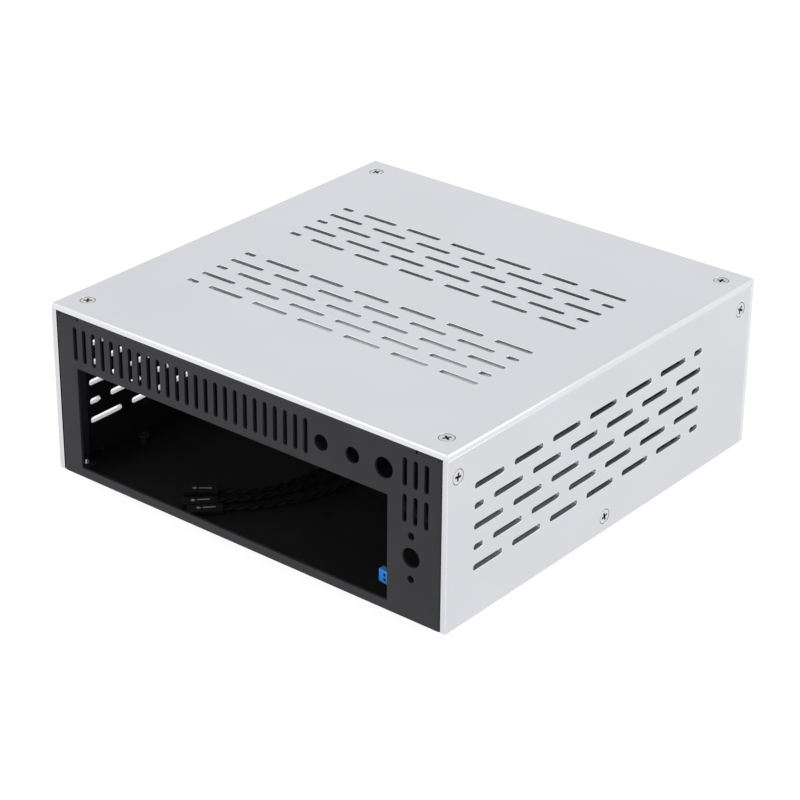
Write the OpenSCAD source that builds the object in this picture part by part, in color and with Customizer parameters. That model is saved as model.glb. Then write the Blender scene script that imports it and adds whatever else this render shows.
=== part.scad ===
// Small desktop computer case for a mini-ITX board, empty, with its front controls and their leads.
// The feet stand on Z = 0, the power button faces -Y and the black connector panel faces +Y.
// Left and right are those of a person who looks at the power button: left is -X.

/* [Case] */
// Width across the two side panels
case_w = 199; // [199:0.5:203]
// Depth from the front panel to the rear panel
case_d = 199; // [199:0.5:203]
// Height of the body without its feet
case_h = 73.4; // [73:0.2:80]
// Height of the rubber feet
foot_h = 4; // [3:0.5:8]
// Diameter of a rubber foot
foot_d = 12; // [8:0.5:16]

/* [Sheets] */
// Thickness of the aluminium cover and side panels
panel_t = 2.4; // [2.2:0.1:2.8]
// Thickness of the aluminium front panel
front_t = 2.5; // [2.3:0.1:3]
// Thickness of the black steel sheets
sheet_t = 1.2; // [1:0.1:1.4]
// Chamfer along the outer edges of the cover and the front panel
edge_chamfer = 0.5; // [0.2:0.1:0.8]
// Height of the floor tray's side upstands above the floor
upstand_h = 12; // [11:0.5:12]

/* [Cooling slots] */
// Width of a cooling slot
slot_w = 2.4; // [1.6:0.1:3]
// Length of a long cooling slot
slot_long = 17.5; // [14:0.5:18]
// Length of the short slot at one end of each row
slot_short = 5.6; // [4:0.1:6]
// Metal left between two slots of a row
slot_gap = 6; // [5:0.5:6.5]
// Number of long slots in a row
slot_count = 6; // [3:1:6]
// Number of rows in a group
slot_rows = 5; // [1:2:5]
// Distance between two rows
row_pitch = 8.5; // [6:0.5:8.5]
// Distance of the cover's two groups from its middle
cover_group_y = 31; // [28:0.5:34]

/* [Rear panel] */
// Width of the standard connector opening
io_w = 158.75; // [150:0.25:158.75]
// Height of the standard connector opening
io_h = 44.45; // [40:0.05:44.45]
// Width of a vent in the rear panel
vent_w = 2; // [1.5:0.1:3]
// Length of a vent above the connector opening
vent_long = 14.5; // [8:0.5:14.5]
// Length of a vent in the two short rows
vent_short = 11.5; // [6:0.5:11.5]
// Number of vents above the connector opening
vent_count = 25; // [5:1:25]
// Distance between two vents
vent_pitch = 5; // [4:0.5:5]
// Diameter of the two aerial holes
aerial_d = 6.5; // [5:0.1:7]
// Diameter of the hole beside the aerial holes
round_hole_d = 8.4; // [6:0.1:9]
// Diameter of the power socket's hole
jack_d = 8; // [6:0.1:9]
// Distance between the power socket's two screw holes
jack_pitch = 18; // [16:0.5:20]

/* [Front controls] */
// Diameter of the power button
button_d = 10; // [9:0.1:10]
// Travel of the power button
button_travel = 1; // [0.5:0.1:1]
// Distance between the two USB sockets
usb_pitch = 20; // [18:0.5:24]

/* [Leads] */
// Diameter of a two-wire lead
lead_d = 2.4; // [2:0.1:2.4]
// Diameter of the USB cable
usb_cable_d = 5.2; // [4:0.1:5.2]

/* [Hidden] */
$fn = 48;

// Faces of the body
front_y = -case_d / 2;
rear_y = case_d / 2;
side_x = case_w / 2;
base_z = foot_h;
top_z = foot_h + case_h;
cover_z = top_z - panel_t;
floor_z = base_z + sheet_t;
inner_x = side_x - panel_t;
wall_y = front_y + front_t;
bulkhead_y = wall_y + sheet_t;
rear_in_y = rear_y - sheet_t;

// Gap between two parts that touch, gap of a clearance hole, overshoot and length of a cut
touch = 0.05;
slack = 0.1;
over = 1;
through = 10;

// M3 fasteners
screw_r = 1.5;
screw_hole_r = 1.7;
nut_bore_r = 1.55;
head_r = 3;
head_h = 1.5;
sink_r = 3.2;
nut_r = 3.15;
nut_h = 1.6;
nut_shank_r = 2.08;
nut_seat_r = 2.1;
stud_h = 7;
hex_r = 3.18;
hex_h = 2.4;
sunk_l = 6;
pan_l = 4;
pan_h = 1.8;
pan_low_r = 2.75;
pan_top_r = 2.3;
recess_w = 3.4;
recess_arm = 0.9;
recess_h = 1.1;

// Screw places: the cover's corners, and the side panels' upper corners and lower middle
cover_screw_x = side_x - 9.3;
cover_screw_front_y = front_y + 10.4;
cover_screw_rear_y = rear_y - 11;
side_screw_front_y = front_y + 9.3;
side_screw_rear_y = rear_y - 6.1;
side_screw_top_z = top_z - 10.7;
side_screw_low_z = top_z - 67;
tray_screw_x = side_x - 8;
tray_screw_rear_y = rear_y - 6.5;
tray_screw_front_y = bulkhead_y + 6;
stud_x = 86;
stud_z = [base_z + 11, top_z - 13];

// Flanges and tabs of the two black walls
flange_d = 14.5;
side_flange_d = 12;
tab_w = 11.5;
foot_tab_w = 8.5;
foot_tab_d = 7.5;
upstand_gap = 4;

// Cooling slot groups
slot_row_l = slot_short + slot_count * (slot_gap + slot_long);
cover_slot_x = 1;
side_slot_y = rear_y - 16 - slot_row_l / 2;
side_slot_z = top_z - 35.6;
right_slot_drop = 5.3;

// Rear panel features
io_x = 7.3;
io_z = base_z + 4 + io_h / 2;
vent_x = 87;
vent_z = top_z - 7 - vent_long / 2;
short_vent_x = [-80, -85, -90];
short_vent_z = [top_z - 7 - vent_short / 2, top_z - 21.8 - vent_short / 2];
aerial_x = [-40.5, -55.5];
round_hole_x = -70.3;
hole_row_z = top_z - 14.6;
jack_x = -83.2;
jack_z = top_z - 47.2;
jack_screw_r = 1.5;

// Mini-ITX board holes: two at the front, one close behind the rear panel, one further in
board_x = 8;
board_rear_y = rear_in_y - 1;
board_hole_x = 157.48 / 2;
standoff_h = 4;
standoff_r = 2.5;
standoff_bore_r = 1.25;
standoff_floor = 0.4;
standoffs = [
    [board_x + board_hole_x, board_rear_y - 165.1],
    [board_x - board_hole_x, board_rear_y - 165.1],
    [board_x - board_hole_x, board_rear_y - 10.16],
    [board_x + board_hole_x, board_rear_y - 33.02]
];

// Front controls, on one line across the front panel
control_z = base_z + 30;
switch_x = 54;
power_light_x = 74;
drive_light_x = 82;
usb_x = -52;
light_r = 1.5;
light_l = 5.3;
light_collar_r = 1.95;
light_clip_r = 2.55;
light_clip_h = 1.7;
light_rim_r = 3.4;
light_rim_h = 0.5;

// Power switch, measured inwards from the front face
cap_h = 2.5;
flange_r = 8;
flange_h = 1.2;
thread_r = 5.9;
seal_wire_r = 0.28;
seal_groove_h = 0.6;
seal_r = 6.7;
well_d = 7;
web_h = 1.6;
chamber_r = 4.6;
chamber_end = 16;
housing_l = 18;
stem_r = 1.5;
coil_r = 2.6;
coil_wire_r = 0.25;
coil_turns = 4;
bridge_r = 3.4;
bridge_h = 0.6;
bridge_s = well_d + web_h + touch;
terminal_s = bridge_s + bridge_h + button_travel + touch;
terminal_end = 22;
terminal = [2.8, 3, 0.5];
terminal_pin = [0.6, 1];
terminal_x = 0.4;
switch_nut_r = 8.6;
switch_nut_h = 2;

// USB sockets and their board
usb_shell = [13.1, 17, 5.7];
usb_wall = 0.3;
usb_inset = 0.3;
usb_window_gap = 0.25;
usb_window_d = 12;
usb_tongue = [11, 10, 1.84];
usb_tongue_place = [0.7, 0.8, 2.8];
usb_block_d = 7;
usb_board_t = 1.6;
usb_board_w = 46;
usb_board_l = 22;
usb_board_s = 5;
usb_board_z = control_z - usb_shell[2] / 2;
usb_tab_w = 8;
usb_tab_x = [usb_x - 19, usb_x + 19];
usb_screw_s = 22.5;
relief = [12, 8, 7];
relief_s = 22;
usb_exit = [usb_x, front_y + relief_s + relief[1], usb_board_z + relief[2] / 2];

// Plugs: place of the middle of the mating face, heading of the mating face about Z
usb_plug_at = [-74.2, 93.8, floor_z + standoff_h + 2.8];
usb_plug_turn = -8;
usb_block = [24.5, 2.5, 5.4];
usb_hood = [27, 20.5, 5.4];
contact = [0.9, 12, 0.9];
contact_pitch = 2;
pin_plug = [5.1, 14, 2.54];
pin_pitch = 2.54;
pin_z = floor_z + pin_plug[2] / 2 + touch;
lead_z = floor_z + lead_d / 2 + 0.1;
drive_plug_at = [33.6, 76.2];
drive_plug_turn = -51;
power_plug_at = [28.2, 82.9];
power_plug_turn = -43;
switch_plug_at = [22.4, 85.9];
switch_plug_turn = -42;

// Middle lines of the leads, from the front controls to the plugs
usb_lie = 7.9;
usb_route = [
    usb_exit, [-52, -65, usb_exit[2]], [-52, -57, 33], [-52, -49.5, 28], [-52, -45, 21.5],
    [-52, -40, 14.5], [-52, -33, 9.5], [-52, -24.5, usb_lie], [-47, -10.5, usb_lie],
    [-34, -3, usb_lie], [-21, 4.5, usb_lie], [-15.5, 19, usb_lie], [-21, 33, usb_lie],
    [-34, 40.5, usb_lie], [-47, 43, usb_lie], [-59.5, 45, 8.5], [-69.5, 50, 9.5],
    [-76, 59, 11], [-77.4, 71, usb_plug_at[2]]
];
switch_route = [
    [switch_x, front_y + terminal_end, control_z], [54, -72, control_z], [53, -65, 29],
    [51, -58, 20], [48, -51, 11], [43, -42, lead_z], [34, -33, lead_z], [24, -24, lead_z],
    [14, -14, lead_z], [6, -3, lead_z], [1, 10, lead_z], [-2, 24, lead_z], [-2, 38, lead_z],
    [1, 52, lead_z], [6, 64, lead_z], [13, 75, lead_z],
    [switch_plug_at[0], switch_plug_at[1], pin_z]
];
power_light_route = [
    [power_light_x, front_y + 5.3, control_z], [74, -88, control_z], [73, -81, 29],
    [72, -73, 20], [69, -65, 11], [64, -56, lead_z], [54, -45, lead_z], [44, -34, lead_z],
    [34, -23, lead_z], [24, -11, lead_z], [15, 1, lead_z], [9, 14, lead_z], [7, 28, lead_z],
    [8, 42, lead_z], [12, 56, lead_z], [19, 71, lead_z],
    [power_plug_at[0], power_plug_at[1], pin_z]
];
drive_light_route = [
    [drive_light_x, front_y + 5.3, control_z], [82, -88, control_z], [82, -81, 29],
    [81, -73, 20], [79, -65, 11], [75, -56, lead_z], [66, -44, lead_z], [57, -32, lead_z],
    [48, -20, lead_z], [39, -8, lead_z], [29, 3, lead_z], [21, 14, lead_z], [16, 27, lead_z],
    [15, 41, lead_z], [17, 55, lead_z], [23, 67, lead_z],
    [drive_plug_at[0], drive_plug_at[1], pin_z]
];

// Moves children along the inward axis of the front panel, at x, with their +Z as that axis
module inward(x, z = control_z) {
    translate([x, front_y, z]) rotate([-90, 0, 0]) children();
}

// Puts children at the two front and the two rear cover screws
module at_cover_screws() {
    for (x = [-1, 1], y = [cover_screw_front_y, cover_screw_rear_y])
        translate([x * cover_screw_x, y, 0]) children();
}

// Puts children at the three screws of one side panel, with their +Z pointing outwards
module at_side_screws(side) {
    places = [
        [side_screw_front_y, side_screw_top_z],
        [side_screw_rear_y, side_screw_top_z],
        [0, side_screw_low_z]
    ];
    for (p = places)
        translate([side * side_x, p[0], p[1]]) rotate([0, side * 90, 0]) children();
}

// Puts children at the four screws that come up through the floor
module at_tray_screws() {
    for (x = [-1, 1], y = [tray_screw_front_y, tray_screw_rear_y])
        translate([x * tray_screw_x, y, 0]) children();
}

// Puts children at the front panel's four studs, along the inward axis
module at_studs() {
    for (x = [-1, 1], z = stud_z) inward(x * stud_x, z) children();
}

// Round-ended slot, lying along x
module slot_2d(length, width) {
    square([length - width, width], center = true);
    for (s = [-1, 1]) translate([s * (length - width) / 2, 0]) circle(d = width);
}

// One row of slots: a short one at the low end, then the long ones
module slot_row_2d() {
    start = -slot_row_l / 2;
    translate([start + slot_short / 2, 0]) slot_2d(slot_short, slot_w);
    for (i = [0 : slot_count - 1])
        translate([start + slot_short + slot_gap + slot_long / 2 + i * (slot_gap + slot_long), 0])
            slot_2d(slot_long, slot_w);
}

// A group of rows, whose short slots lie at alternate ends, the outer rows' at the low end
module slot_group_2d() {
    for (i = [0 : slot_rows - 1])
        translate([0, (i - (slot_rows - 1) / 2) * row_pitch]) mirror([i % 2, 0]) slot_row_2d();
}

// Countersunk screw hole in a plate whose outer face is z = 0
module sunk_hole() {
    translate([0, 0, -head_h]) cylinder(h = head_h, r1 = screw_hole_r, r2 = sink_r);
    translate([0, 0, -through]) cylinder(h = through, r = screw_hole_r);
    cylinder(h = over, r = sink_r);
}

// Cross recess, open at z = 0
module cross_recess() {
    for (a = [0, 90]) rotate(a)
        translate([-recess_w / 2, -recess_arm / 2, -recess_h]) cube([recess_w, recess_arm, recess_h + over]);
}

// Countersunk cross-head screw, its head just below z = 0 and its shank downwards
module sunk_screw() {
    translate([0, 0, -slack]) difference() {
        union() {
            translate([0, 0, -head_h]) cylinder(h = head_h, r1 = screw_r, r2 = head_r);
            translate([0, 0, -sunk_l]) cylinder(h = sunk_l - head_h, r = screw_r);
        }
        cross_recess();
    }
}

// Pan-head cross-head screw, its head above z = 0 and its shank downwards
module pan_screw() {
    difference() {
        union() {
            cylinder(h = pan_h, r1 = pan_low_r, r2 = pan_top_r);
            translate([0, 0, -pan_l]) cylinder(h = pan_l, r = screw_r);
        }
        translate([0, 0, pan_h]) cross_recess();
    }
}

// Clinch nut: shank in a sheet whose far face is z = 0, body below the sheet
module clinch_nut() {
    difference() {
        union() {
            translate([0, 0, -sheet_t]) cylinder(h = sheet_t - touch, r = nut_shank_r);
            translate([0, 0, -sheet_t - nut_h]) cylinder(h = nut_h, r = nut_r);
        }
        translate([0, 0, -sheet_t - nut_h - over]) cylinder(h = through, r = nut_bore_r);
    }
}

// Plate from z = 0 to t, with its upper edges chamfered
module chamfered_plate(w, d, t) {
    intersection() {
        rotate([90, 0, 0]) linear_extrude(d, center = true) chamfered_side_2d(w, t);
        rotate([90, 0, 90]) linear_extrude(w, center = true) chamfered_side_2d(d, t);
    }
}

module chamfered_side_2d(w, t) {
    polygon([
        [-w / 2, 0], [w / 2, 0], [w / 2, t - edge_chamfer], [w / 2 - edge_chamfer, t],
        [-w / 2 + edge_chamfer, t], [-w / 2, t - edge_chamfer]
    ]);
}

module top_cover() {
    color("gainsboro") difference() {
        translate([0, 0, cover_z]) chamfered_plate(case_w, case_d, panel_t);
        for (s = [-1, 1])
            translate([cover_slot_x, s * cover_group_y, cover_z - over])
                linear_extrude(panel_t + 2 * over) mirror([1, 0]) slot_group_2d();
        at_cover_screws() translate([0, 0, top_z]) sunk_hole();
    }
}

module top_cover_screws() {
    color("silver") at_cover_screws() translate([0, 0, top_z]) sunk_screw();
}

module side_panel(side) {
    plate = [panel_t, rear_y - wall_y, cover_z - base_z];
    color("gainsboro") difference() {
        translate([side > 0 ? inner_x : -side_x, wall_y, base_z]) cube(plate);
        translate([side * side_x, side_slot_y, side_slot_z - (side > 0 ? right_slot_drop : 0)])
            rotate([90, 0, 90])
                linear_extrude(4 * panel_t, center = true) slot_group_2d();
        at_side_screws(side) sunk_hole();
    }
}

module left_side_panel() { side_panel(-1); }
module right_side_panel() { side_panel(1); }

module left_side_screws() { color("silver") at_side_screws(-1) sunk_screw(); }
module right_side_screws() { color("silver") at_side_screws(1) sunk_screw(); }

module front_panel() {
    color("gainsboro") {
        difference() {
            translate([0, wall_y, (base_z + cover_z) / 2])
                rotate([90, 0, 0]) chamfered_plate(case_w, cover_z - base_z, front_t);
            inward(switch_x) {
                translate([0, 0, -over]) cylinder(h = 2 * front_t, r = thread_r + slack);
                translate([0, 0, -over])
                    cylinder(h = over + flange_h + seal_groove_h, r = flange_r + slack);
            }
            for (x = [power_light_x, drive_light_x])
                inward(x) translate([0, 0, -over]) cylinder(h = 2 * front_t, r = light_r + slack);
            usb_windows(usb_window_gap);
        }
        at_studs() translate([0, 0, front_t]) cylinder(h = stud_h, r = screw_r);
    }
}

// Cut-outs for the two USB sockets, with a gap all round
module usb_windows(gap) {
    for (s = [-1, 1])
        translate([usb_x + s * usb_pitch / 2, front_y, control_z])
            cube([usb_shell[0] + 2 * gap, usb_window_d, usb_shell[2] + 2 * gap], center = true);
}

module front_panel_nuts() {
    color("silver") at_studs() translate([0, 0, front_t + sheet_t]) difference() {
        cylinder(h = hex_h, r = hex_r, $fn = 6);
        translate([0, 0, -over]) cylinder(h = hex_h + 2 * over, r = nut_bore_r);
    }
}

// Side flanges of a black wall, with a tab under the cover and a tab on the floor at each side.
// The wall's inner face is y = 0 and the flanges run towards +y.
module flanges(screw_y, side_y, foot_y) {
    for (s = [-1, 1]) mirror([s < 0 ? 1 : 0, 0, 0]) difference() {
        union() {
            translate([inner_x - sheet_t, -touch, floor_z])
                cube([sheet_t, side_flange_d + touch, cover_z - floor_z]);
            translate([inner_x - tab_w, touch, cover_z - sheet_t]) cube([tab_w, flange_d - touch, sheet_t]);
            translate([inner_x - foot_tab_w - sheet_t, touch, floor_z])
                cube([foot_tab_w + sheet_t, foot_tab_d + over, sheet_t]);
        }
        translate([cover_screw_x, screw_y, cover_z - 2 * sheet_t]) cylinder(h = through, r = nut_seat_r);
        translate([inner_x - 2 * sheet_t, side_y, side_screw_top_z])
            rotate([0, 90, 0]) cylinder(h = through, r = nut_seat_r);
        translate([tray_screw_x, foot_y, floor_z - over]) cylinder(h = 3 * sheet_t, r = nut_bore_r);
    }
}

module front_bulkhead() {
    color("#26262a") {
        difference() {
            translate([-inner_x, wall_y, base_z]) cube([2 * inner_x, sheet_t, cover_z - base_z]);
            inward(switch_x) cylinder(h = through, r = thread_r + slack);
            for (x = [power_light_x, drive_light_x])
                inward(x) cylinder(h = through, r = light_clip_r + touch);
            at_studs() cylinder(h = through, r = screw_hole_r);
            usb_windows(2 * usb_window_gap);
        }
        translate([0, bulkhead_y, 0])
            flanges(cover_screw_front_y - bulkhead_y, side_screw_front_y - bulkhead_y,
                tray_screw_front_y - bulkhead_y);
        for (x = usb_tab_x) difference() {
            translate([x - usb_tab_w / 2, bulkhead_y - touch, usb_board_z - usb_board_t - sheet_t])
                cube([usb_tab_w, usb_board_s + usb_board_l - front_t - sheet_t, sheet_t]);
            translate([x, front_y + usb_screw_s, usb_board_z - through])
                cylinder(h = 2 * through, r = nut_bore_r);
        }
    }
}

module rear_panel() {
    color("#3c3c42") {
        difference() {
            translate([-inner_x, rear_in_y, base_z]) cube([2 * inner_x, sheet_t, cover_z - base_z]);
            translate([io_x, rear_y, io_z]) cube([io_w, through, io_h], center = true);
            rear_cut() {
                for (i = [0 : vent_count - 1]) translate([vent_x - i * vent_pitch, vent_z]) rotate(90)
                    slot_2d(vent_long, vent_w);
                for (x = short_vent_x, z = short_vent_z) translate([x, z]) rotate(90)
                    slot_2d(vent_short, vent_w);
                for (x = aerial_x) translate([x, hole_row_z]) circle(d = aerial_d);
                translate([round_hole_x, hole_row_z]) circle(d = round_hole_d);
                translate([jack_x, jack_z]) circle(d = jack_d);
                for (s = [-1, 1]) translate([jack_x, jack_z + s * jack_pitch / 2]) circle(r = jack_screw_r);
            }
        }
        mirror([0, 1, 0]) translate([0, -rear_in_y, 0])
            flanges(rear_in_y - cover_screw_rear_y, rear_in_y - side_screw_rear_y,
                rear_in_y - tray_screw_rear_y);
    }
}

// Cuts a flat outline in x and z right through the rear panel
module rear_cut() {
    translate([0, rear_y, 0]) rotate([90, 0, 0]) linear_extrude(through, center = true) children();
}

module base_tray() {
    upstand_l = rear_in_y - bulkhead_y - 2 * (flange_d + upstand_gap);
    color("#26262a") difference() {
        union() {
            translate([-inner_x, bulkhead_y, base_z]) cube([2 * inner_x, rear_in_y - bulkhead_y, sheet_t]);
            for (s = [-1, 1])
                translate([s * (inner_x - sheet_t / 2), 0, floor_z + upstand_h / 2 - touch])
                    cube([sheet_t, upstand_l, upstand_h + 2 * touch], center = true);
        }
        for (p = standoffs)
            translate([p[0], p[1], base_z - over]) cylinder(h = 3 * sheet_t, r = nut_seat_r);
        at_tray_screws() translate([0, 0, base_z - over]) cylinder(h = 3 * sheet_t, r = screw_hole_r);
        for (s = [-1, 1]) translate([s * inner_x, 0, side_screw_low_z])
            rotate([0, 90, 0]) cylinder(h = 4 * sheet_t, r = nut_seat_r, center = true);
    }
}

module tray_screws() {
    color("silver") at_tray_screws() translate([0, 0, base_z]) mirror([0, 0, 1]) pan_screw();
}

module clinch_nuts() {
    color("#26262a") {
        at_cover_screws() translate([0, 0, cover_z]) clinch_nut();
        for (s = [-1, 1]) at_side_screws(s) translate([0, 0, -panel_t]) clinch_nut();
    }
}

module board_standoffs() {
    color("#26262a") for (p = standoffs) translate([p[0], p[1], 0]) difference() {
        union() {
            translate([0, 0, base_z + touch]) cylinder(h = sheet_t, r = nut_shank_r);
            translate([0, 0, floor_z]) cylinder(h = standoff_h, r = standoff_r);
        }
        translate([0, 0, floor_z - standoff_floor]) cylinder(h = through, r = standoff_bore_r);
    }
}

module rubber_feet() {
    inset = 16;
    taper = 0.8;
    rim_h = 0.6;
    color("#1c1c1e") for (x = [-1, 1], y = [-1, 1])
        translate([x * (side_x - inset), y * (rear_y - inset), 0]) {
            cylinder(h = foot_h - rim_h, r1 = foot_d / 2 - taper, r2 = foot_d / 2);
            translate([0, 0, foot_h - rim_h]) cylinder(h = rim_h, r = foot_d / 2);
        }
}

module power_button() {
    color("gainsboro") inward(switch_x) {
        cylinder(h = cap_h, r = button_d / 2);
        cylinder(h = bridge_s, r = stem_r);
    }
}

module contact_bridge() {
    color("goldenrod") inward(switch_x) translate([0, 0, bridge_s]) cylinder(h = bridge_h, r = bridge_r);
}

// Coil spring round the stem, from the cap to the housing's web
module switch_spring() {
    low = cap_h + coil_wire_r + touch;
    high = well_d - coil_wire_r - touch;
    steps = 12 * coil_turns;
    line = [for (i = [0 : steps]) let (turn = 360 * coil_turns * i / steps)
        [coil_r * cos(turn), coil_r * sin(turn), low + (high - low) * i / steps]];
    color("silver") inward(switch_x) tube(line, coil_wire_r, 6);
}

module switch_housing() {
    color("silver") inward(switch_x) difference() {
        union() {
            cylinder(h = flange_h, r = flange_r);
            cylinder(h = housing_l, r = thread_r);
        }
        translate([0, 0, -over]) cylinder(h = over + well_d, r = button_d / 2 + slack);
        cylinder(h = well_d + web_h + over, r = stem_r + slack);
        translate([0, 0, well_d + web_h]) cylinder(h = chamber_end - well_d - web_h, r = chamber_r);
        for (s = [-1, 1]) translate([s * (terminal_x + terminal_pin[0] / 2), 0, chamber_end])
            cube([terminal_pin[0] + slack, terminal_pin[1] + slack, through], center = true);
    }
}

module switch_seal() {
    color("#1c1c1e") inward(switch_x) translate([0, 0, flange_h + seal_groove_h / 2])
        rotate_extrude() translate([seal_r, 0]) circle(r = seal_wire_r, $fn = 16);
}

module switch_nut() {
    color("silver") inward(switch_x) translate([0, 0, front_t + sheet_t]) difference() {
        cylinder(h = switch_nut_h, r = switch_nut_r, $fn = 6);
        translate([0, 0, -over]) cylinder(h = switch_nut_h + 2 * over, r = thread_r + touch);
    }
}

module switch_terminals() {
    color("goldenrod") inward(switch_x) for (s = [0, 180]) rotate(s) {
        translate([terminal_x, -terminal[1] / 2, terminal_s]) cube(terminal);
        translate([terminal_x, -terminal_pin[1] / 2, terminal_s])
            cube([terminal_pin[0], terminal_pin[1], terminal_end - terminal_s]);
    }
}

// Lamp with its lens at the front face and its collar behind the clip
module lamp(x) {
    collar_s = front_t + touch + light_clip_h + touch;
    inward(x) {
        cylinder(h = light_l, r = light_r);
        translate([0, 0, collar_s]) cylinder(h = light_l - collar_s, r = light_collar_r);
    }
}

module power_light() { color("lightgreen") lamp(power_light_x); }
module drive_light() { color("orangered") lamp(drive_light_x); }

module light_clips() {
    color("#1c1c1e") for (x = [power_light_x, drive_light_x]) inward(x) difference() {
        union() {
            translate([0, 0, front_t + touch]) cylinder(h = light_clip_h, r = light_clip_r);
            translate([0, 0, front_t + sheet_t + touch]) cylinder(h = light_rim_h, r = light_rim_r);
        }
        cylinder(h = through, r = light_r + touch);
    }
}

module usb_board() {
    color("darkgreen") difference() {
        translate([usb_x - usb_board_w / 2, front_y + usb_board_s, usb_board_z - usb_board_t])
            cube([usb_board_w, usb_board_l, usb_board_t]);
        for (x = usb_tab_x) translate([x, front_y + usb_screw_s, usb_board_z - through])
            cylinder(h = 2 * through, r = screw_hole_r);
    }
}

module usb_board_screws() {
    color("silver") for (x = usb_tab_x) translate([x, front_y + usb_screw_s, usb_board_z]) pan_screw();
}

// Shell of a USB socket, open at the front, with its floor on the board
module usb_shell_at(x) {
    color("silver") translate([x - usb_shell[0] / 2, front_y + usb_inset, usb_board_z]) difference() {
        cube(usb_shell);
        translate([usb_wall, -over, usb_wall])
            cube([usb_shell[0] - 2 * usb_wall, usb_shell[1] - usb_wall + over, usb_shell[2] - 2 * usb_wall]);
    }
}

module usb_shell_left() { usb_shell_at(usb_x - usb_pitch / 2); }
module usb_shell_right() { usb_shell_at(usb_x + usb_pitch / 2); }

// Tongue of a USB socket with the block that holds it at the back of the shell
module usb_tongue_at(x) {
    gap = usb_wall + touch;
    block = [usb_shell[0] - 2 * gap, usb_block_d, usb_shell[2] - 2 * gap];
    color("royalblue") translate([x - block[0] / 2, front_y + usb_inset, usb_board_z + gap]) {
        translate([0, usb_shell[1] - gap - block[1], 0]) cube(block);
        translate(usb_tongue_place) cube(usb_tongue);
    }
}

module usb_tongue_left() { usb_tongue_at(usb_x - usb_pitch / 2); }
module usb_tongue_right() { usb_tongue_at(usb_x + usb_pitch / 2); }

module usb_cable_relief() {
    color("#1c1c1e") translate([usb_x - relief[0] / 2, front_y + relief_s, usb_board_z]) cube(relief);
}

// Swept tube round a line of points, with flat ends
module tube(line, radius, sides) {
    last = len(line) - 1;
    rings = [for (i = [0 : last]) ring(line[i], heading(line, i, last), radius, sides)];
    quads = [for (i = [0 : last - 1], j = [0 : sides - 1])
        [i * sides + j, i * sides + (j + 1) % sides, (i + 1) * sides + (j + 1) % sides, (i + 1) * sides + j]];
    ends = [
        [for (j = [sides - 1 : -1 : 0]) j],
        [for (j = [0 : sides - 1]) last * sides + j]
    ];
    polyhedron([for (r = rings, p = r) p], concat(quads, ends), convexity = 10);
}

function heading(line, i, last) = unit(line[min(i + 1, last)] - line[max(i - 1, 0)]);
function unit(v) = v / norm(v);
function ring(p, along, radius, sides) =
    let (across = unit(cross(along, [0, 0, 1])), up = cross(across, along))
    [for (j = [0 : sides - 1])
        p + radius * (cos(-360 * j / sides) * across + sin(-360 * j / sides) * up)];

module usb_cable() { color("#1c1c1e") tube(usb_route, usb_cable_d / 2, 12); }
module power_switch_lead() { color("#1c1c1e") tube(switch_route, lead_d / 2, 8); }
module power_light_lead() { color("#1c1c1e") tube(power_light_route, lead_d / 2, 8); }
module drive_light_lead() { color("#1c1c1e") tube(drive_light_route, lead_d / 2, 8); }

// Blue 20-way block, its contact holes in two rows
module usb_plug() {
    color("dodgerblue") translate(usb_plug_at) rotate(usb_plug_turn) difference() {
        translate([0, -usb_block[1] / 2, 0]) cube(usb_block, center = true);
        for (i = [-4.5 : 4.5], s = [-0.5, 0.5])
            translate([contact_pitch * i, 0, contact_pitch * s]) cube(contact, center = true);
    }
}

module usb_plug_hood() {
    color("#1c1c1e") translate(usb_plug_at) rotate(usb_plug_turn)
        translate([0, -usb_block[1] - usb_hood[1] / 2, 0]) cube(usb_hood, center = true);
}

// Black two-way plug: its back is at the given place, its mating face points along turn
module pin_plug_at(place, turn) {
    color("#1c1c1e") translate([place[0], place[1], pin_z]) rotate(turn) difference() {
        translate([0, pin_plug[1] / 2, 0]) cube(pin_plug, center = true);
        for (s = [-0.5, 0.5]) translate([s * pin_pitch, pin_plug[1], 0]) cube(contact, center = true);
    }
}

module power_switch_plug() { pin_plug_at(switch_plug_at, switch_plug_turn); }
module power_light_plug() { pin_plug_at(power_plug_at, power_plug_turn); }
module drive_light_plug() { pin_plug_at(drive_plug_at, drive_plug_turn); }

top_cover();
top_cover_screws();
left_side_panel();
right_side_panel();
left_side_screws();
right_side_screws();
front_panel();
front_panel_nuts();
front_bulkhead();
rear_panel();
base_tray();
tray_screws();
clinch_nuts();
board_standoffs();
rubber_feet();
power_button();
contact_bridge();
switch_spring();
switch_housing();
switch_seal();
switch_nut();
switch_terminals();
power_light();
drive_light();
light_clips();
usb_board();
usb_board_screws();
usb_shell_left();
usb_shell_right();
usb_tongue_left();
usb_tongue_right();
usb_cable_relief();
usb_cable();
usb_plug();
usb_plug_hood();
power_switch_lead();
power_light_lead();
drive_light_lead();
power_switch_plug();
power_light_plug();
drive_light_plug();
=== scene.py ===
import math
import bmesh
import bpy
from mathutils import Matrix, Vector


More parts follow.
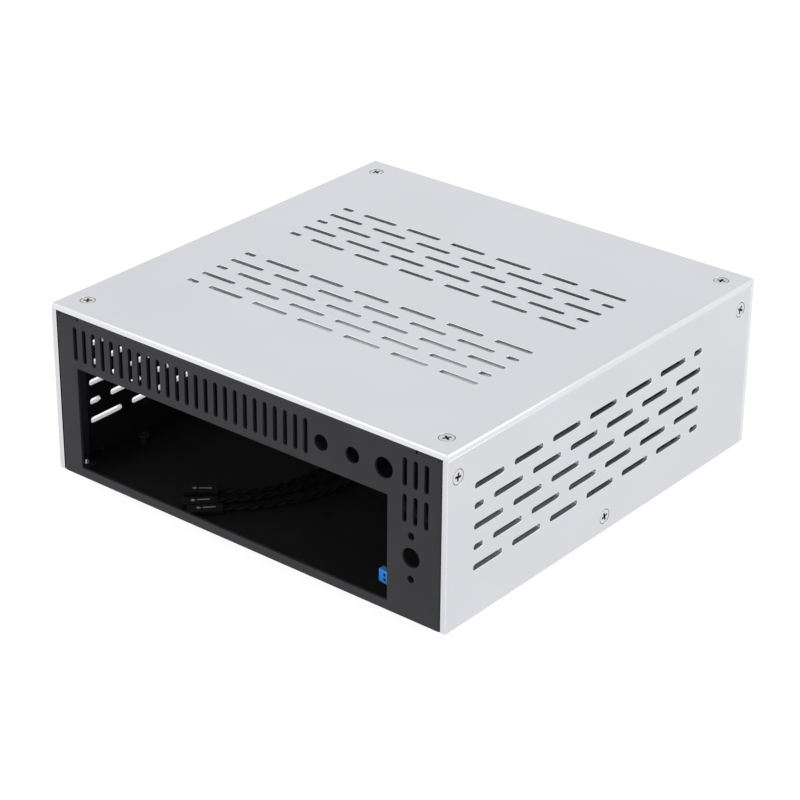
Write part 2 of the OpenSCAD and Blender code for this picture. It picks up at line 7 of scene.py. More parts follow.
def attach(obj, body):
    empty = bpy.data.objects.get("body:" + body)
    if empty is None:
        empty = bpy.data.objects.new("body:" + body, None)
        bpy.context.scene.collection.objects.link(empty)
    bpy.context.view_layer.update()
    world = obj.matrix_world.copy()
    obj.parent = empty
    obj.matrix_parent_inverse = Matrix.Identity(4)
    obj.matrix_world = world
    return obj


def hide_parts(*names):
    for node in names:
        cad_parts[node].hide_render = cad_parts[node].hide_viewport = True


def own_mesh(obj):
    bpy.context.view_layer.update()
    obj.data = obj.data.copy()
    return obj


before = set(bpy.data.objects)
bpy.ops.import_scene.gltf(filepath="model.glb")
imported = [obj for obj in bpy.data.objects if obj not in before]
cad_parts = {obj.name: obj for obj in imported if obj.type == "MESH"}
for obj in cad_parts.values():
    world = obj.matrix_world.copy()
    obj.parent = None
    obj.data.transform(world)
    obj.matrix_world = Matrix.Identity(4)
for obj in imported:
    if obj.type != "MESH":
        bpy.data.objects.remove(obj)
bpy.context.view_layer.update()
print("frame loaded:", len(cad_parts), "nodes")

mm = 0.001    # shapes below are drawn in millimetres, then scaled once

# Camera
cameraSetup = {
    "location": (-0.58635, 0.72548, 0.5015),
    "rotation": (63.107, -0.439, -140.675),
    "lens": 115.81,
}
cameraData = bpy.data.cameras.new("camera")
cameraData.lens = cameraSetup["lens"]
cameraData.sensor_width = 36
cameraData.clip_start = 0.01
camera = bpy.data.objects.new("camera", cameraData)
camera.location = cameraSetup["location"]
camera.rotation_euler = [math.radians(a) for a in cameraSetup["rotation"]]
bpy.context.scene.collection.objects.link(camera)
bpy.context.scene.camera = camera
print("camera placed")


# Materials: each finish has its own function, which several pieces share
def setInputs(node, values):
    for name, value in values.items():
        node.inputs[name].default_value = value


def makeMaterial(name, color, roughness, metallic=0.0, specular=0.5):
    mat = bpy.data.materials.new(name)
    mat.use_nodes = True
    shader = mat.node_tree.nodes["Principled BSDF"]
    setInputs(shader, {"Base Color": (*color, 1), "Roughness": roughness, "Metallic": metallic,
                       "Specular IOR Level": specular})
    mat.diffuse_color = (*color, 1)
    return mat, mat.node_tree, shader


def addNoise(tree, scale, stretch=(1, 1, 1), detail=3.0):
    coords = tree.nodes.new("ShaderNodeTexCoord")
    mapping = tree.nodes.new("ShaderNodeMapping")
    setInputs(mapping, {"Scale": stretch})
    noise = tree.nodes.new("ShaderNodeTexNoise")
    setInputs(noise, {"Scale": scale, "Detail": detail})
    tree.links.new(coords.outputs["Object"], mapping.inputs["Vector"])
    tree.links.new(mapping.outputs["Vector"], noise.inputs["Vector"])
    return noise.outputs["Fac"]


# Noise mostly lies between these two values, so every ramp works from them
noiseRange = (0.3, 0.7)


def spread(tree, value, low, high):
    ramp = tree.nodes.new("ShaderNodeMapRange")
    setInputs(ramp, {"From Min": noiseRange[0], "From Max": noiseRange[1], "To Min": low, "To Max": high})
    tree.links.new(value, ramp.inputs["Value"])
    return ramp.outputs["Result"]


def mixColors(tree, fac, dark, light):
    ramp = tree.nodes.new("ShaderNodeValToRGB")
    for stop, position, color in zip(ramp.color_ramp.elements, noiseRange, (dark, light)):
        stop.position = position
        stop.color = (*color, 1)
    tree.links.new(fac, ramp.inputs["Fac"])
    return ramp.outputs["Color"]


def addBump(tree, shader, height, strength, distance, normal=None):
    bump = tree.nodes.new("ShaderNodeBump")
    setInputs(bump, {"Strength": strength, "Distance": distance})
    tree.links.new(height, bump.inputs["Height"])
    if normal:
        tree.links.new(normal, bump.inputs["Normal"])
    tree.links.new(bump.outputs["Normal"], shader.inputs["Normal"])
    return bump.outputs["Normal"]


def tinted(color, factor):
    return tuple(min(1, c * factor) for c in color)


# Lets the base colour drift between a darker and a lighter tint of it
def varyTone(tree, shader, value, color, dark, light):
    tone = mixColors(tree, value, tinted(color, dark), tinted(color, light))
    tree.links.new(tone, shader.inputs["Base Color"])


def varyRoughness(tree, shader, value, low, high):
    tree.links.new(spread(tree, value, low, high), shader.inputs["Roughness"])


# Brushed sheet, clear anodised: fine lines along one axis and slow cloudiness
def brushedAluminium(name, along, color=(0.755, 0.765, 0.8)):
    mat, tree, shader = makeMaterial(name, color, 0.42, 1.0)
    stretch = [0.02 if axis == along else 1 for axis in "xyz"]
    lines = addNoise(tree, 2600, stretch, 4)
    clouds = addNoise(tree, 22, detail=2)
    blend = tree.nodes.new("ShaderNodeMath")
    blend.operation = "MULTIPLY_ADD"
    tree.links.new(lines, blend.inputs[0])
    blend.inputs[1].default_value = 0.7
    tree.links.new(spread(tree, clouds, 0.05, 0.25), blend.inputs[2])
    varyTone(tree, shader, blend.outputs[0], color, 0.965, 1.03)
    varyRoughness(tree, shader, lines, 0.36, 0.5)
    shader.inputs["Anisotropic"].default_value = 0.35
    addBump(tree, shader, lines, 0.12, 0.00004)
    return mat


# Bright metal where a tool cut through the anodised skin
def cutAluminium():
    mat, tree, shader = makeMaterial("cut aluminium", (0.86, 0.865, 0.88), 0.24, 1.0)
    lines = addNoise(tree, 5200, (1, 1, 0.2), 2)
    varyRoughness(tree, shader, lines, 0.18, 0.32)
    tone = mixColors(tree, lines, (0.82, 0.825, 0.84), (0.9, 0.905, 0.92))
    tree.links.new(tone, shader.inputs["Base Color"])
    addBump(tree, shader, lines, 0.1, 0.00003)
    return mat


# Fine powder coat: orange peel over a tight grain
def powderCoat(name, color, roughness, specular):
    mat, tree, shader = makeMaterial(name, color, roughness, 0.0, specular)
    peel = addNoise(tree, 900, detail=2)
    grain = addNoise(tree, 5200)
    dust = addNoise(tree, 45, detail=4)
    varyTone(tree, shader, dust, color, 0.88, 1.14)
    varyRoughness(tree, shader, grain, roughness - 0.07, roughness + 0.09)
    soft = addBump(tree, shader, peel, 0.25, 0.00008)
    addBump(tree, shader, grain, 0.3, 0.00003, soft)
    return mat


# Turned or plated metal with faint tool lines
def platedMetal(name, color, roughness):
    mat, tree, shader = makeMaterial(name, color, roughness, 1.0)
    marks = addNoise(tree, 3000)
    tarnish = addNoise(tree, 240)
    varyTone(tree, shader, tarnish, color, 0.9, 1.06)
    varyRoughness(tree, shader, marks, roughness * 0.75, roughness * 1.35)
    addBump(tree, shader, marks, 0.08, 0.00003)
    return mat


# Moulded plastic or rubber: grain from the mould, slight shade changes
def moulded(name, color, roughness, grainSize=2600, depth=0.2, specular=0.5):
    mat, tree, shader = makeMaterial(name, color, roughness, 0.0, specular)
    grain = addNoise(tree, grainSize)
    shade = addNoise(tree, 130)
    varyTone(tree, shader, shade, color, 0.88, 1.12)
    varyRoughness(tree, shader, grain, roughness * 0.85, min(1, roughness * 1.15))
    addBump(tree, shader, grain, depth, 0.00004)
    return mat


# Glass epoxy board: weave under green mask, with copper runs showing as lighter lines
def circuitBoard():
    mat, tree, shader = makeMaterial("circuit board", (0.01, 0.12, 0.05), 0.3)
    coords = tree.nodes.new("ShaderNodeTexCoord")
    runs = tree.nodes.new("ShaderNodeTexBrick")
    setInputs(runs, {"Scale": 260, "Mortar Size": 0.035, "Color1": (0.008, 0.1, 0.04, 1),
                     "Color2": (0.012, 0.14, 0.055, 1), "Mortar": (0.03, 0.26, 0.11, 1)})
    tree.links.new(coords.outputs["Object"], runs.inputs["Vector"])
    tree.links.new(runs.outputs["Color"], shader.inputs["Base Color"])
    weave = addNoise(tree, 1800, detail=2)
    varyRoughness(tree, shader, weave, 0.22, 0.4)
    addBump(tree, shader, weave, 0.1, 0.00004)
    return mat


def lampLens(name, color):
    mat, tree, shader = makeMaterial(name, color, 0.28)
    shader.inputs["Transmission Weight"].default_value = 0.35
    milk = addNoise(tree, 900)
    varyTone(tree, shader, milk, color, 0.85, 1.1)
    varyRoughness(tree, shader, milk, 0.2, 0.38)
    addBump(tree, shader, milk, 0.1, 0.00003)
    return mat


aluminiumTop = brushedAluminium("brushed aluminium cover", "x")
# Same anodised sheet as the cover, brushed along y; its darker colour is painted shade on the upright side
# plates
aluminiumSidePaintedShade = brushedAluminium("brushed aluminium side, painted shade", "y", (0.67, 0.675, 0.705))
aluminiumFront = brushedAluminium("brushed aluminium front", "x")
cutEdge = cutAluminium()
blackPanel = powderCoat("black powder coat", (0.018, 0.018, 0.0225), 0.54, 0.3)
# Black coat for the inside faces; it is made darker than the outer black coat as painted shade inside the
# case
blackInsidePaintedShade = powderCoat("black inner coat, painted shade", (0.005, 0.005, 0.0056), 0.62, 0.2)
screwSteel = platedMetal("nickel plated steel", (0.66, 0.66, 0.67), 0.2)
# Near-black steel on the cross recess walls: painted shade in the screw recess
recessPaintedShade = platedMetal("steel with painted shade in the recess", (0.07, 0.07, 0.072), 0.45)
# Steel coloured near black; used for the board standoffs
nearBlackSteel = powderCoat("near black steel", (0.006, 0.006, 0.0066), 0.5, 0.3)
# Dark colour on the sink cones round the screw heads: painted shade in the gap between head and plate
sinkPaintedShade = platedMetal("countersink, painted shade", (0.2, 0.2, 0.205), 0.4)
turnedSteel = platedMetal("turned stainless steel", (0.7, 0.7, 0.71), 0.26)
tinPlate = platedMetal("tin plate", (0.76, 0.76, 0.74), 0.2)
goldFlash = platedMetal("gold flash", (0.86, 0.62, 0.26), 0.25)
springWire = platedMetal("spring wire", (0.66, 0.66, 0.66), 0.3)
footRubber = moulded("foot rubber", (0.02, 0.02, 0.021), 0.78, 3000, 0.3)
cableJacket = moulded("cable jacket", (0.006, 0.006, 0.0065), 0.6, 1500, 0.15, 0.2)
wireJacket = moulded("wire jacket", (0.004, 0.004, 0.0044), 0.6, 2000, 0.1, 0.12)
blackNylon = moulded("black nylon", (0.005, 0.005, 0.0055), 0.55, 2600, 0.2, 0.15)
bluePlastic = moulded("blue plastic", (0.026, 0.242, 0.791), 0.42)
# Darkened blue inside the USB plug's holes: painted shade in the holes of the blue block
holesPaintedShade = moulded("contact holes", (0.006, 0.03, 0.11), 0.6)
whitePrint = moulded("white print", (0.4, 0.4, 0.4), 0.6)
boardMask = circuitBoard()
greenLens = lampLens("green lens", (0.22, 0.62, 0.3))
redLens = lampLens("red lens", (0.78, 0.13, 0.07))
print("materials ready")


# Drawing helpers; outlines are lists of points in millimetres
def circlePoints(radius, count=48, center=(0, 0)):
    step = 2 * math.pi / count
    return [(center[0] + radius * math.cos(i * step), center[1] + radius * math.sin(i * step))
            for i in range(count)]


# Round-ended slot, lying along x unless upright
def slotPoints(center, length, width, upright=False, count=12):
    radius, reach = width / 2, (length - width) / 2
    points = []
    for side in (1, -1):
        for i in range(count + 1):
            a = -math.pi / 2 + math.pi * i / count
            points.append((side * (reach + radius * math.cos(a)), side * radius * math.sin(a)))
    if upright:
        points = [(-y, x) for x, y in points]
    return [(center[0] + x, center[1] + y) for x, y in points]


# Rectangle with rounded corners
def boxPoints(center, width, height, corner=0.0, count=5):
    points = []
    for k, (sx, sy) in enumerate([(1, 1), (-1, 1), (-1, -1), (1, -1)]):
        cx, cy = center[0] + sx * (width / 2 - corner), center[1] + sy * (height / 2 - corner)
        for i in range(count + 1 if corner else 1):
            a = math.pi / 2 * (k + i / count)
            points.append((cx + corner * math.cos(a), cy + corner * math.sin(a)))
    return points


# Cross recess outline, an arm's half length and half width
def crossPoints(arm, half):
    return [(half, half), (arm, half), (arm, -half), (half, -half), (half, -arm), (-half, -arm),
            (-half, -half), (-arm, -half), (-arm, half), (-half, half), (-half, arm), (half, arm)][::-1]


# Turns the drawing's x, y and outward directions into the given ones
def facing(x, y, outward):
    return Matrix([x, y, outward]).transposed().to_4x4()


def turned(degrees):
    return Matrix.Rotation(math.radians(degrees), 4, "Z")


def shiftedBy(x, y, z=0.0):
    return Matrix.Translation((x, y, z))


facingFront = facing((1, 0, 0), (0, 0, 1), (0, -1, 0))
facingRear = facing((1, 0, 0), (0, 0, 1), (0, 1, 0))
facingDown = facing((1, 0, 0), (0, -1, 0), (0, 0, -1))


def levelMaterial(level):
    return level[2] if len(level) > 2 else 0


def joinRings(bm, near, far, material=0):
    for i in range(len(near)):
        k = (i + 1) % len(near)
        bm.faces.new((near[i], near[k], far[k], far[i])).material_index = material


# A solid between stacks of outlines. Each stack is [(points, height, material), ...] from the outer face
# inwards. Holes go right through, pockets end in a floor of their own.
def addSolid(bm, at, outline, holes=(), pockets=(), outerMat=0, innerMat=0):
    normal = (at.to_3x3() @ Vector((0, 0, 1))).normalized()

    def buildRings(stack):
        rings = [[bm.verts.new(at @ Vector((x, y, level[1]))) for x, y in level[0]] for level in stack]
        for level, near, far in zip(stack, rings, rings[1:]):
            joinRings(bm, near, far, levelMaterial(level))
        return rings

    def capRings(rings, material):
        if len(rings) == 1:
            faces = [bm.faces.new(rings[0])]
        else:
            edges = [bm.edges.get((r[i], r[(i + 1) % len(r)])) for r in rings for i in range(len(r))]
            made = bmesh.ops.triangle_fill(bm, edges=edges, use_beauty=True, normal=normal)
            faces = [g for g in made["geom"] if isinstance(g, bmesh.types.BMFace)]
        for face in faces:
            face.material_index = material

    body = buildRings(outline)
    through = [buildRings(stack) for stack in holes]
    blind = [buildRings(stack) for stack in pockets]
    capRings([body[0]] + [r[0] for r in through] + [r[0] for r in blind], outerMat)
    capRings([body[-1]] + [r[-1] for r in through], innerMat)
    for rings, stack in zip(blind, pockets):
        capRings([rings[-1]], levelMaterial(stack[-1]))


# Outline stack of a sheet's edge, broken by a small rim at both faces
def edgeStack(shape, thickness, rim, rimMat=0, wallMat=0):
    return [(shape(rim), 0, rimMat), (shape(0), -rim, wallMat),
            (shape(0), rim - thickness, rimMat), (shape(rim), -thickness)]


def roundStack(center, radius, thickness, rim, rimMat=0, wallMat=0, count=40):
    return edgeStack(lambda g: circlePoints(radius + g, count, center), thickness, rim, rimMat, wallMat)


# Outline of a rectangular sheet, and an opening through one
def boxStack(center, width, height, corner, thickness, rim, rimMat=0):
    return edgeStack(lambda g: boxPoints(center, width - 2 * g, height - 2 * g, corner),
                     thickness, rim, rimMat)


def windowStack(center, size, corner, thickness, rim, rimMat=0):
    return edgeStack(lambda g: boxPoints(center, size[0] + 2 * g, size[1] + 2 * g, corner + g),
                     thickness, rim, rimMat)


def slotStack(center, length, width, thickness, rim, rimMat=0, upright=False, count=12):
    return edgeStack(lambda g: slotPoints(center, length + 2 * g, width + 2 * g, upright, count),
                     thickness, rim, rimMat)


def latheStack(profile, count=40, center=(0, 0)):
    return [(circlePoints(level[0], count, center), *level[1:]) for level in profile]


def mirrored(half):
    return half + [(-x, y) for x, y in reversed(half)]


# Places at minus and plus x, for each y
def pairedPlaces(x, ys):
    return [(side * x, y) for side in (-1, 1) for y in ys]


# A block with broken edges, its outer face at height 0 of its placing
def addBlock(bm, at, width, height, depth, rim=0.15, corner=0.2, rimCorner=None, mat=0, pockets=()):
    inner = boxPoints((0, 0), width - 2 * rim, height - 2 * rim, rimCorner or max(corner - rim, 0.02))
    outer = boxPoints((0, 0), width, height, corner)
    stack = [(inner, 0, mat), (outer, -rim, mat), (outer, rim - depth, mat), (inner, -depth, mat)]
    addSolid(bm, at, stack, pockets=pockets, outerMat=mat, innerMat=mat)


# Bends what lies beyond start towards the inner side, along axis 0 or 1, within a span of the other axis
def foldEdge(bm, axis, sign, start, span, outer, thickness):
    neutral = outer - thickness / 2
    arc = neutral * math.pi / 2
    direction = [0, 0, 0]
    direction[axis] = 1
    for k in range(7):
        place = [0, 0, 0]
        place[axis] = sign * (start + arc * k / 6)
        bmesh.ops.bisect_plane(bm, geom=bm.verts[:] + bm.edges[:] + bm.faces[:], dist=1e-5,
                               plane_co=place, plane_no=direction)
    for v in bm.verts:
        along, depth = sign * v.co[axis] - start, -v.co[2]
        if along <= 1e-6 or not span[0] <= v.co[1 - axis] <= span[1]:
            continue
        angle = min(along / neutral, math.pi / 2)
        v.co[axis] = sign * (start + (outer - depth) * math.sin(angle))
        v.co[2] = -(outer - (outer - depth) * math.cos(angle) + max(0, along - arc))


def linkMesh(bm, name, smoothAngle):
    mesh = bpy.data.meshes.new(name)
    bm.to_mesh(mesh)
    bm.free()
    mesh.shade_smooth()
    mesh.set_sharp_from_angle(angle=math.radians(smoothAngle))
    piece = bpy.data.objects.new(name, mesh)
    bpy.context.scene.collection.objects.link(piece)
    return piece


# A piece rides on a body, wears its materials and stands for a CAD node
def standFor(piece, body, mats, node):
    for mat in mats:
        piece.data.materials.append(mat)
    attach(piece, body)
    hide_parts(node)
    return piece


def makePiece(bm, name, mats, node, smoothAngle=32, body="case"):
    bmesh.ops.remove_doubles(bm, verts=bm.verts, dist=1e-4)
    bmesh.ops.dissolve_degenerate(bm, edges=bm.edges, dist=1e-5)
    bmesh.ops.recalc_face_normals(bm, faces=bm.faces)
    bm.transform(Matrix.Scale(mm, 4))
    return standFor(linkMesh(bm, name, smoothAngle), body, mats, node)


# Cords: the USB cable and three two-wire leads, from the front controls to their plugs
cordRoutes = {
    "usbCable": [
        (-52, -69.5, 34.65), (-52, -65, 34.65), (-52, -57, 33), (-52, -49.5, 28), (-52, -45, 21.5),
        (-52, -40, 14.5), (-52, -33, 9.5), (-52, -24.5, 7.9), (-47, -10.5, 7.9), (-34, -3, 7.9),
        (-21, 4.5, 7.9), (-15.5, 19, 7.9), (-21, 33, 7.9), (-34, 40.5, 7.9), (-47, 43, 7.9),
        (-59.5, 45, 8.5), (-69.5, 50, 9.5), (-76, 59, 11), (-77.4, 71, 12),
    ],
    "powerSwitchLead": [
        (54, -77.5, 34), (54, -72, 34), (53, -65, 29), (51, -58, 20), (48, -51, 11), (43, -42, 6.5),
        (34, -33, 6.5), (24, -24, 6.5), (14, -14, 6.5), (6, -3, 6.5), (1, 10, 6.5), (-2, 24, 6.5),
        (-2, 38, 6.5), (1, 52, 6.5), (6, 64, 6.5), (13, 75, 6.5), (22.4, 85.9, 6.52),
    ],
    "powerLightLead": [
        (74, -94.2, 34), (74, -88, 34), (73, -81, 29), (72, -73, 20), (69, -65, 11), (64, -56, 6.5),
        (54, -45, 6.5), (44, -34, 6.5), (34, -23, 6.5), (24, -11, 6.5), (15, 1, 6.5), (9, 14, 6.5),
        (7, 28, 6.5), (8, 42, 6.5), (12, 56, 6.5), (19, 71, 6.5), (28.2, 82.9, 6.52),
    ],
    "driveLightLead": [
        (82, -94.2, 34), (82, -88, 34), (82, -81, 29), (81, -73, 20), (79, -65, 11), (75, -56, 6.5),
        (66, -44, 6.5), (57, -32, 6.5), (48, -20, 6.5), (39, -8, 6.5), (29, 3, 6.5), (21, 14, 6.5),
        (16, 27, 6.5), (15, 41, 6.5), (17, 55, 6.5), (23, 67, 6.5), (33.6, 76.2, 6.52),
    ],
}
cordSizes = {"cable": 5.2, "lead": 2.4, "wire": 1.18, "twistPitch": 11, "snugness": 1.02}


# Points of a smooth line through a route, in metres, never lower than the route's lowest point
def smoothLine(route, steps):
    pts = [mm * Vector(p) for p in route]
    padded = [pts[0] * 2 - pts[1]] + pts + [pts[-1] * 2 - pts[-2]]
    line = []
    for a, b, c, d in zip(padded, padded[1:], padded[2:], padded[3:]):
        for i in range(steps):
            t = i / steps
            line.append(0.5 * (2 * b + (c - a) * t + (2 * a - 5 * b + 4 * c - d) * t * t
                               + (3 * b - a - 3 * c + d) * t ** 3))
    lowest = min(p.z for p in pts)
    return [Vector((p.x, p.y, max(p.z, lowest))) for p in line + [pts[-1]]]


# Sweeps round wires along a line; more than one wire is twisted round it
def sweepWires(name, line, wireRadius, wires=1, pitch=1.0, sides=12, side=(0, 0, 1)):
    bm = bmesh.new()
    offset = wireRadius * cordSizes["snugness"] if wires > 1 else 0.0
    for w in range(wires):
        rings, travelled = [], 0.0
        for i, p in enumerate(line):
            ahead = (line[min(i + 1, len(line) - 1)] - line[max(i - 1, 0)]).normalized()
            across = ahead.cross(Vector(side)).normalized()
            up = across.cross(ahead)
            if i:
                travelled += (p - line[i - 1]).length
            turn = 2 * math.pi * (travelled / pitch + w / wires)
            heart = p + offset * (math.cos(turn) * across + math.sin(turn) * up)
            rings.append([bm.verts.new(heart + wireRadius * (math.cos(a) * across + math.sin(a) * up))
                          for a in (2 * math.pi * k / sides for k in range(sides))])
        for near, far in zip(rings, rings[1:]):
            joinRings(bm, near, far)
        bm.faces.new(rings[0])
        bm.faces.new(rings[-1])
    bmesh.ops.recalc_face_normals(bm, faces=bm.faces)
    return linkMesh(bm, name, 40)


def layCord(name, node, mat, wires):
    sizes = cordSizes
    if wires > 1:
        steps, sides, diameter, radius, stiffness = 12, 10, sizes["lead"], sizes["wire"] / 2, "limp"
    else:
        steps, sides, diameter, radius, stiffness = 6, 20, sizes["cable"], sizes["cable"] / 2, "medium"
    line = smoothLine(cordRoutes[name], steps)
    piece = sweepWires(name, line, radius * mm, wires, sizes["twistPitch"] * mm, sides)
    standFor(piece, "case", [mat], node)


# Plugs at the cords' ends
usbPlugSizes = {"face": (-74.2, 93.8, 12.0), "turn": -8, "block": (24.5, 5.4, 2.5), "hood": (27, 5.4, 20.5),
                "pitch": 2.0, "columns": 10, "hole": 0.9, "depth": 2.3, "corner": 0.35, "hoodCorner": 0.9}
# Marks are x, y, width and height on the upper face
pinPlugSizes = {"block": (5.1, 2.54, 14.0), "pitch": 2.54, "hole": 0.9, "depth": 6.0, "z": 6.52,
                "corner": 0.3, "marks": ((0, 5.4, 0.5, 5.0), (0, 9.6, 0.5, 1.8), (0, 9.6, 1.8, 0.5)),
                "markRise": 0.02, "markDepth": 0.06}
holeLead = {"wider": 0.3, "depth": 0.2}    # chamfer at the mouth of a contact hole
pinPlugPlaces = {
    "driveLightPlug": ((33.6, 76.2), -51, "drive_light_plug"),
    "powerLightPlug": ((28.2, 82.9), -43, "power_light_plug"),
    "powerSwitchPlug": ((22.4, 85.9), -42, "power_switch_plug"),
}


# Hole walls take material 1 by default; in the USB plug that material is painted shade
def contactHole(center, width, depth, mat=1):
    wide, inside = width + holeLead["wider"], boxPoints(center, width, width)
    return [(boxPoints(center, wide, wide), 0, mat), (inside, -holeLead["depth"], mat), (inside, -depth, mat)]


def makeUsbPlug():
    p = usbPlugSizes
    at = shiftedBy(*p["face"]) @ turned(p["turn"]) @ facingRear
    spots = [(p["pitch"] * (i - (p["columns"] - 1) / 2), s * p["pitch"] / 2)
             for i in range(p["columns"]) for s in (-1, 1)]
    holes = [contactHole(spot, p["hole"], p["depth"]) for spot in spots]
    bm = bmesh.new()
    addBlock(bm, at, *p["block"], corner=p["corner"], rimCorner=p["corner"], pockets=holes)
    piece = makePiece(bm, "usbPlug", [bluePlastic, holesPaintedShade], "usb_plug")
    bm = bmesh.new()
    hoodAt = at @ shiftedBy(0, 0, -p["block"][2])
    addBlock(bm, hoodAt, *p["hood"], corner=p["hoodCorner"], rimCorner=p["hoodCorner"])
    return piece, makePiece(bm, "usbPlugHood", [blackNylon], "usb_plug_hood")


# Two-way plug with a plain printed polarity mark on its upper face
def makePinPlug(name, place, turn, node):
    p = pinPlugSizes
    height, length = p["block"][1:]
    turnedAt = shiftedBy(*place, p["z"]) @ turned(turn)
    holes = [contactHole((s * p["pitch"] / 2, 0), p["hole"], p["depth"], 0) for s in (-1, 1)]
    bm = bmesh.new()
    addBlock(bm, turnedAt @ shiftedBy(0, length) @ facingRear, *p["block"], corner=p["corner"],
             rimCorner=p["corner"], pockets=holes)
    for x, y, w, h in p["marks"]:
        mark = boxPoints((x, y), w, h)
        addSolid(bm, turnedAt @ shiftedBy(0, 0, height / 2 + p["markRise"]),
                 [(mark, 0, 1), (mark, -p["markDepth"], 1)], outerMat=1)
    return makePiece(bm, name, [blackNylon, whitePrint], node)


plugPieces = dict(zip(("usbPlug", "usbPlugHood"), makeUsbPlug()))
for name, (place, turn, node) in pinPlugPlaces.items():
    plugPieces[name] = makePinPlug(name, place, turn, node)
print("plugs made")

for name, node, mat, wires, plugs in (
        ("usbCable", "usb_cable", cableJacket, 1, ["usbPlug", "usbPlugHood"]),
        ("powerSwitchLead", "power_switch_lead", wireJacket, 2, ["powerSwitchPlug"]),
        ("powerLightLead", "power_light_lead", wireJacket, 2, ["powerLightPlug"]),
        ("driveLightLead", "drive_light_lead", wireJacket, 2, ["driveLightPlug"])):
    layCord(name, node, mat, wires)
print("cords laid")

# The case's main measures, and places for its plates
body = {"halfWidth": 99.5, "halfDepth": 99.5, "base": 4.0, "top": 77.4, "cover": 75.0, "inner": 97.1,
        "wall": -97.0, "rearIn": 98.3, "floor": 5.2}
plate = {"thick": 2.4, "front": 2.5, "chamfer": 0.5, "chamferCorner": 0.3, "coverCorner": 0.5,
         "frontCorner": 0.4, "sideCorner": 0.25, "rim": 0.12, "sheet": 1.2, "sheetRim": 0.1, "bend": 1.3}
slotGroup = {"width": 2.4, "long": 17.5, "short": 5.6, "gap": 6.0, "count": 6, "rows": 5, "pitch": 8.5,
             "coverX": 1, "coverY": (-31, 31), "sideEnd": 83.5, "sideZ": {-1: 41.8, 1: 36.5}}
screw = {"clear": 1.7, "sink": 3.2, "sinkDepth": 1.5, "sinkRim": 0.08,
         "coverX": 90.2, "coverY": (-89.1, 88.5), "sideFront": (-90.2, 66.7),
         "sideRear": (93.4, 66.7), "sideLow": (0.0, 10.4), "trayX": 91.5, "trayY": (-89.8, 93.0)}
coverSpots = pairedPlaces(screw["coverX"], screw["coverY"])
sideSpots = [screw[k] for k in ("sideFront", "sideRear", "sideLow")]
traySpots = pairedPlaces(screw["trayX"], screw["trayY"])

topAt = shiftedBy(0, 0, body["top"])
rearAt = shiftedBy(0, body["halfDepth"]) @ facingRear
frontAt = shiftedBy(0, -body["halfDepth"]) @ facingFront
underAt = shiftedBy(0, 0, body["base"]) @ facingDown


def sideAt(side, x=body["halfWidth"]):
    return shiftedBy(side * x, 0) @ facing((0, 1, 0), (0, 0, 1), (side, 0, 0))


def slotRowLength():
    return slotGroup["short"] + slotGroup["count"] * (slotGroup["gap"] + slotGroup["long"])


# Middle and length of every slot in a group; swapped puts the first row's short slot at the other end
def slotPlaces(middle, swapped):
    g, rowLength = slotGroup, slotRowLength()
    places = []
    for row in range(g["rows"]):
        flip = -1 if (row % 2 == 1) != swapped else 1
        y = middle[1] + (row - (g["rows"] - 1) / 2) * g["pitch"]
        x = -rowLength / 2 + g["short"] / 2
        places.append(((middle[0] + flip * x, y), g["short"]))
        for i in range(g["count"]):
            x = -rowLength / 2 + g["short"] + g["gap"] + g["long"] / 2 + i * (g["gap"] + g["long"])
            places.append(((middle[0] + flip * x, y), g["long"]))
    return places


def slotHoles(middle, swapped):
    return [slotStack(c, n, slotGroup["width"], plate["thick"], plate["rim"], 1)
            for c, n in slotPlaces(middle, swapped)]


# The cone wall takes material 3, which is painted shade; the top rim takes the bright cut edge
def sinkStack(center, thickness):
    s = screw
    profile = [(s["sink"] + s["sinkRim"], 0, 1), (s["sink"], -s["sinkRim"], 3),
               (s["clear"], -s["sinkDepth"], 3), (s["clear"], -thickness)]
    return latheStack(profile, 48, center)


# Plate with a bright chamfer round its outer face
def chamferedStack(center, width, height, thickness, corner):
    c, r = plate["chamfer"], plate["sheetRim"]
    edge = boxPoints(center, width, height, corner)
    return [(boxPoints(center, width - 2 * c, height - 2 * c, plate["chamferCorner"]), 0, 1), (edge, -c),
            (edge, r - thickness), (boxPoints(center, width - 2 * r, height - 2 * r, corner - r), -thickness)]


def makeTopCover():
    g, t, w = slotGroup, plate["thick"], 2 * body["halfWidth"]
    holes = []
    for y in g["coverY"]:
        holes += slotHoles((g["coverX"], y), True)
    holes += [sinkStack(spot, t) for spot in coverSpots]
    bm = bmesh.new()
    addSolid(bm, topAt, chamferedStack((0, 0), w, w, t, plate["coverCorner"]), holes, innerMat=2)
    makePiece(bm, "coverPlate", [aluminiumTop, cutEdge, blackInsidePaintedShade, sinkPaintedShade],
              "top_cover", body="cover")


def makeSidePlate(side, name, node):
    g, t = slotGroup, plate["thick"]
    low, high = body["wall"], body["halfDepth"]
    middle, height = ((low + high) / 2, (body["base"] + body["cover"]) / 2), body["cover"] - body["base"]
    outline = boxStack(middle, high - low, height, plate["sideCorner"], t, plate["rim"], 1)
    holes = slotHoles((g["sideEnd"] - slotRowLength() / 2, g["sideZ"][side]), False)
    holes += [sinkStack(spot, t) for spot in sideSpots]
    bm = bmesh.new()
    addSolid(bm, sideAt(side), outline, holes, innerMat=2)
    makePiece(bm, name, [aluminiumSidePaintedShade, cutEdge, blackInsidePaintedShade, sinkPaintedShade], node)


makeTopCover()
makeSidePlate(-1, "leftPlate", "left_side_panel")
makeSidePlate(1, "rightPlate", "right_side_panel")
print("cover and side plates cut")

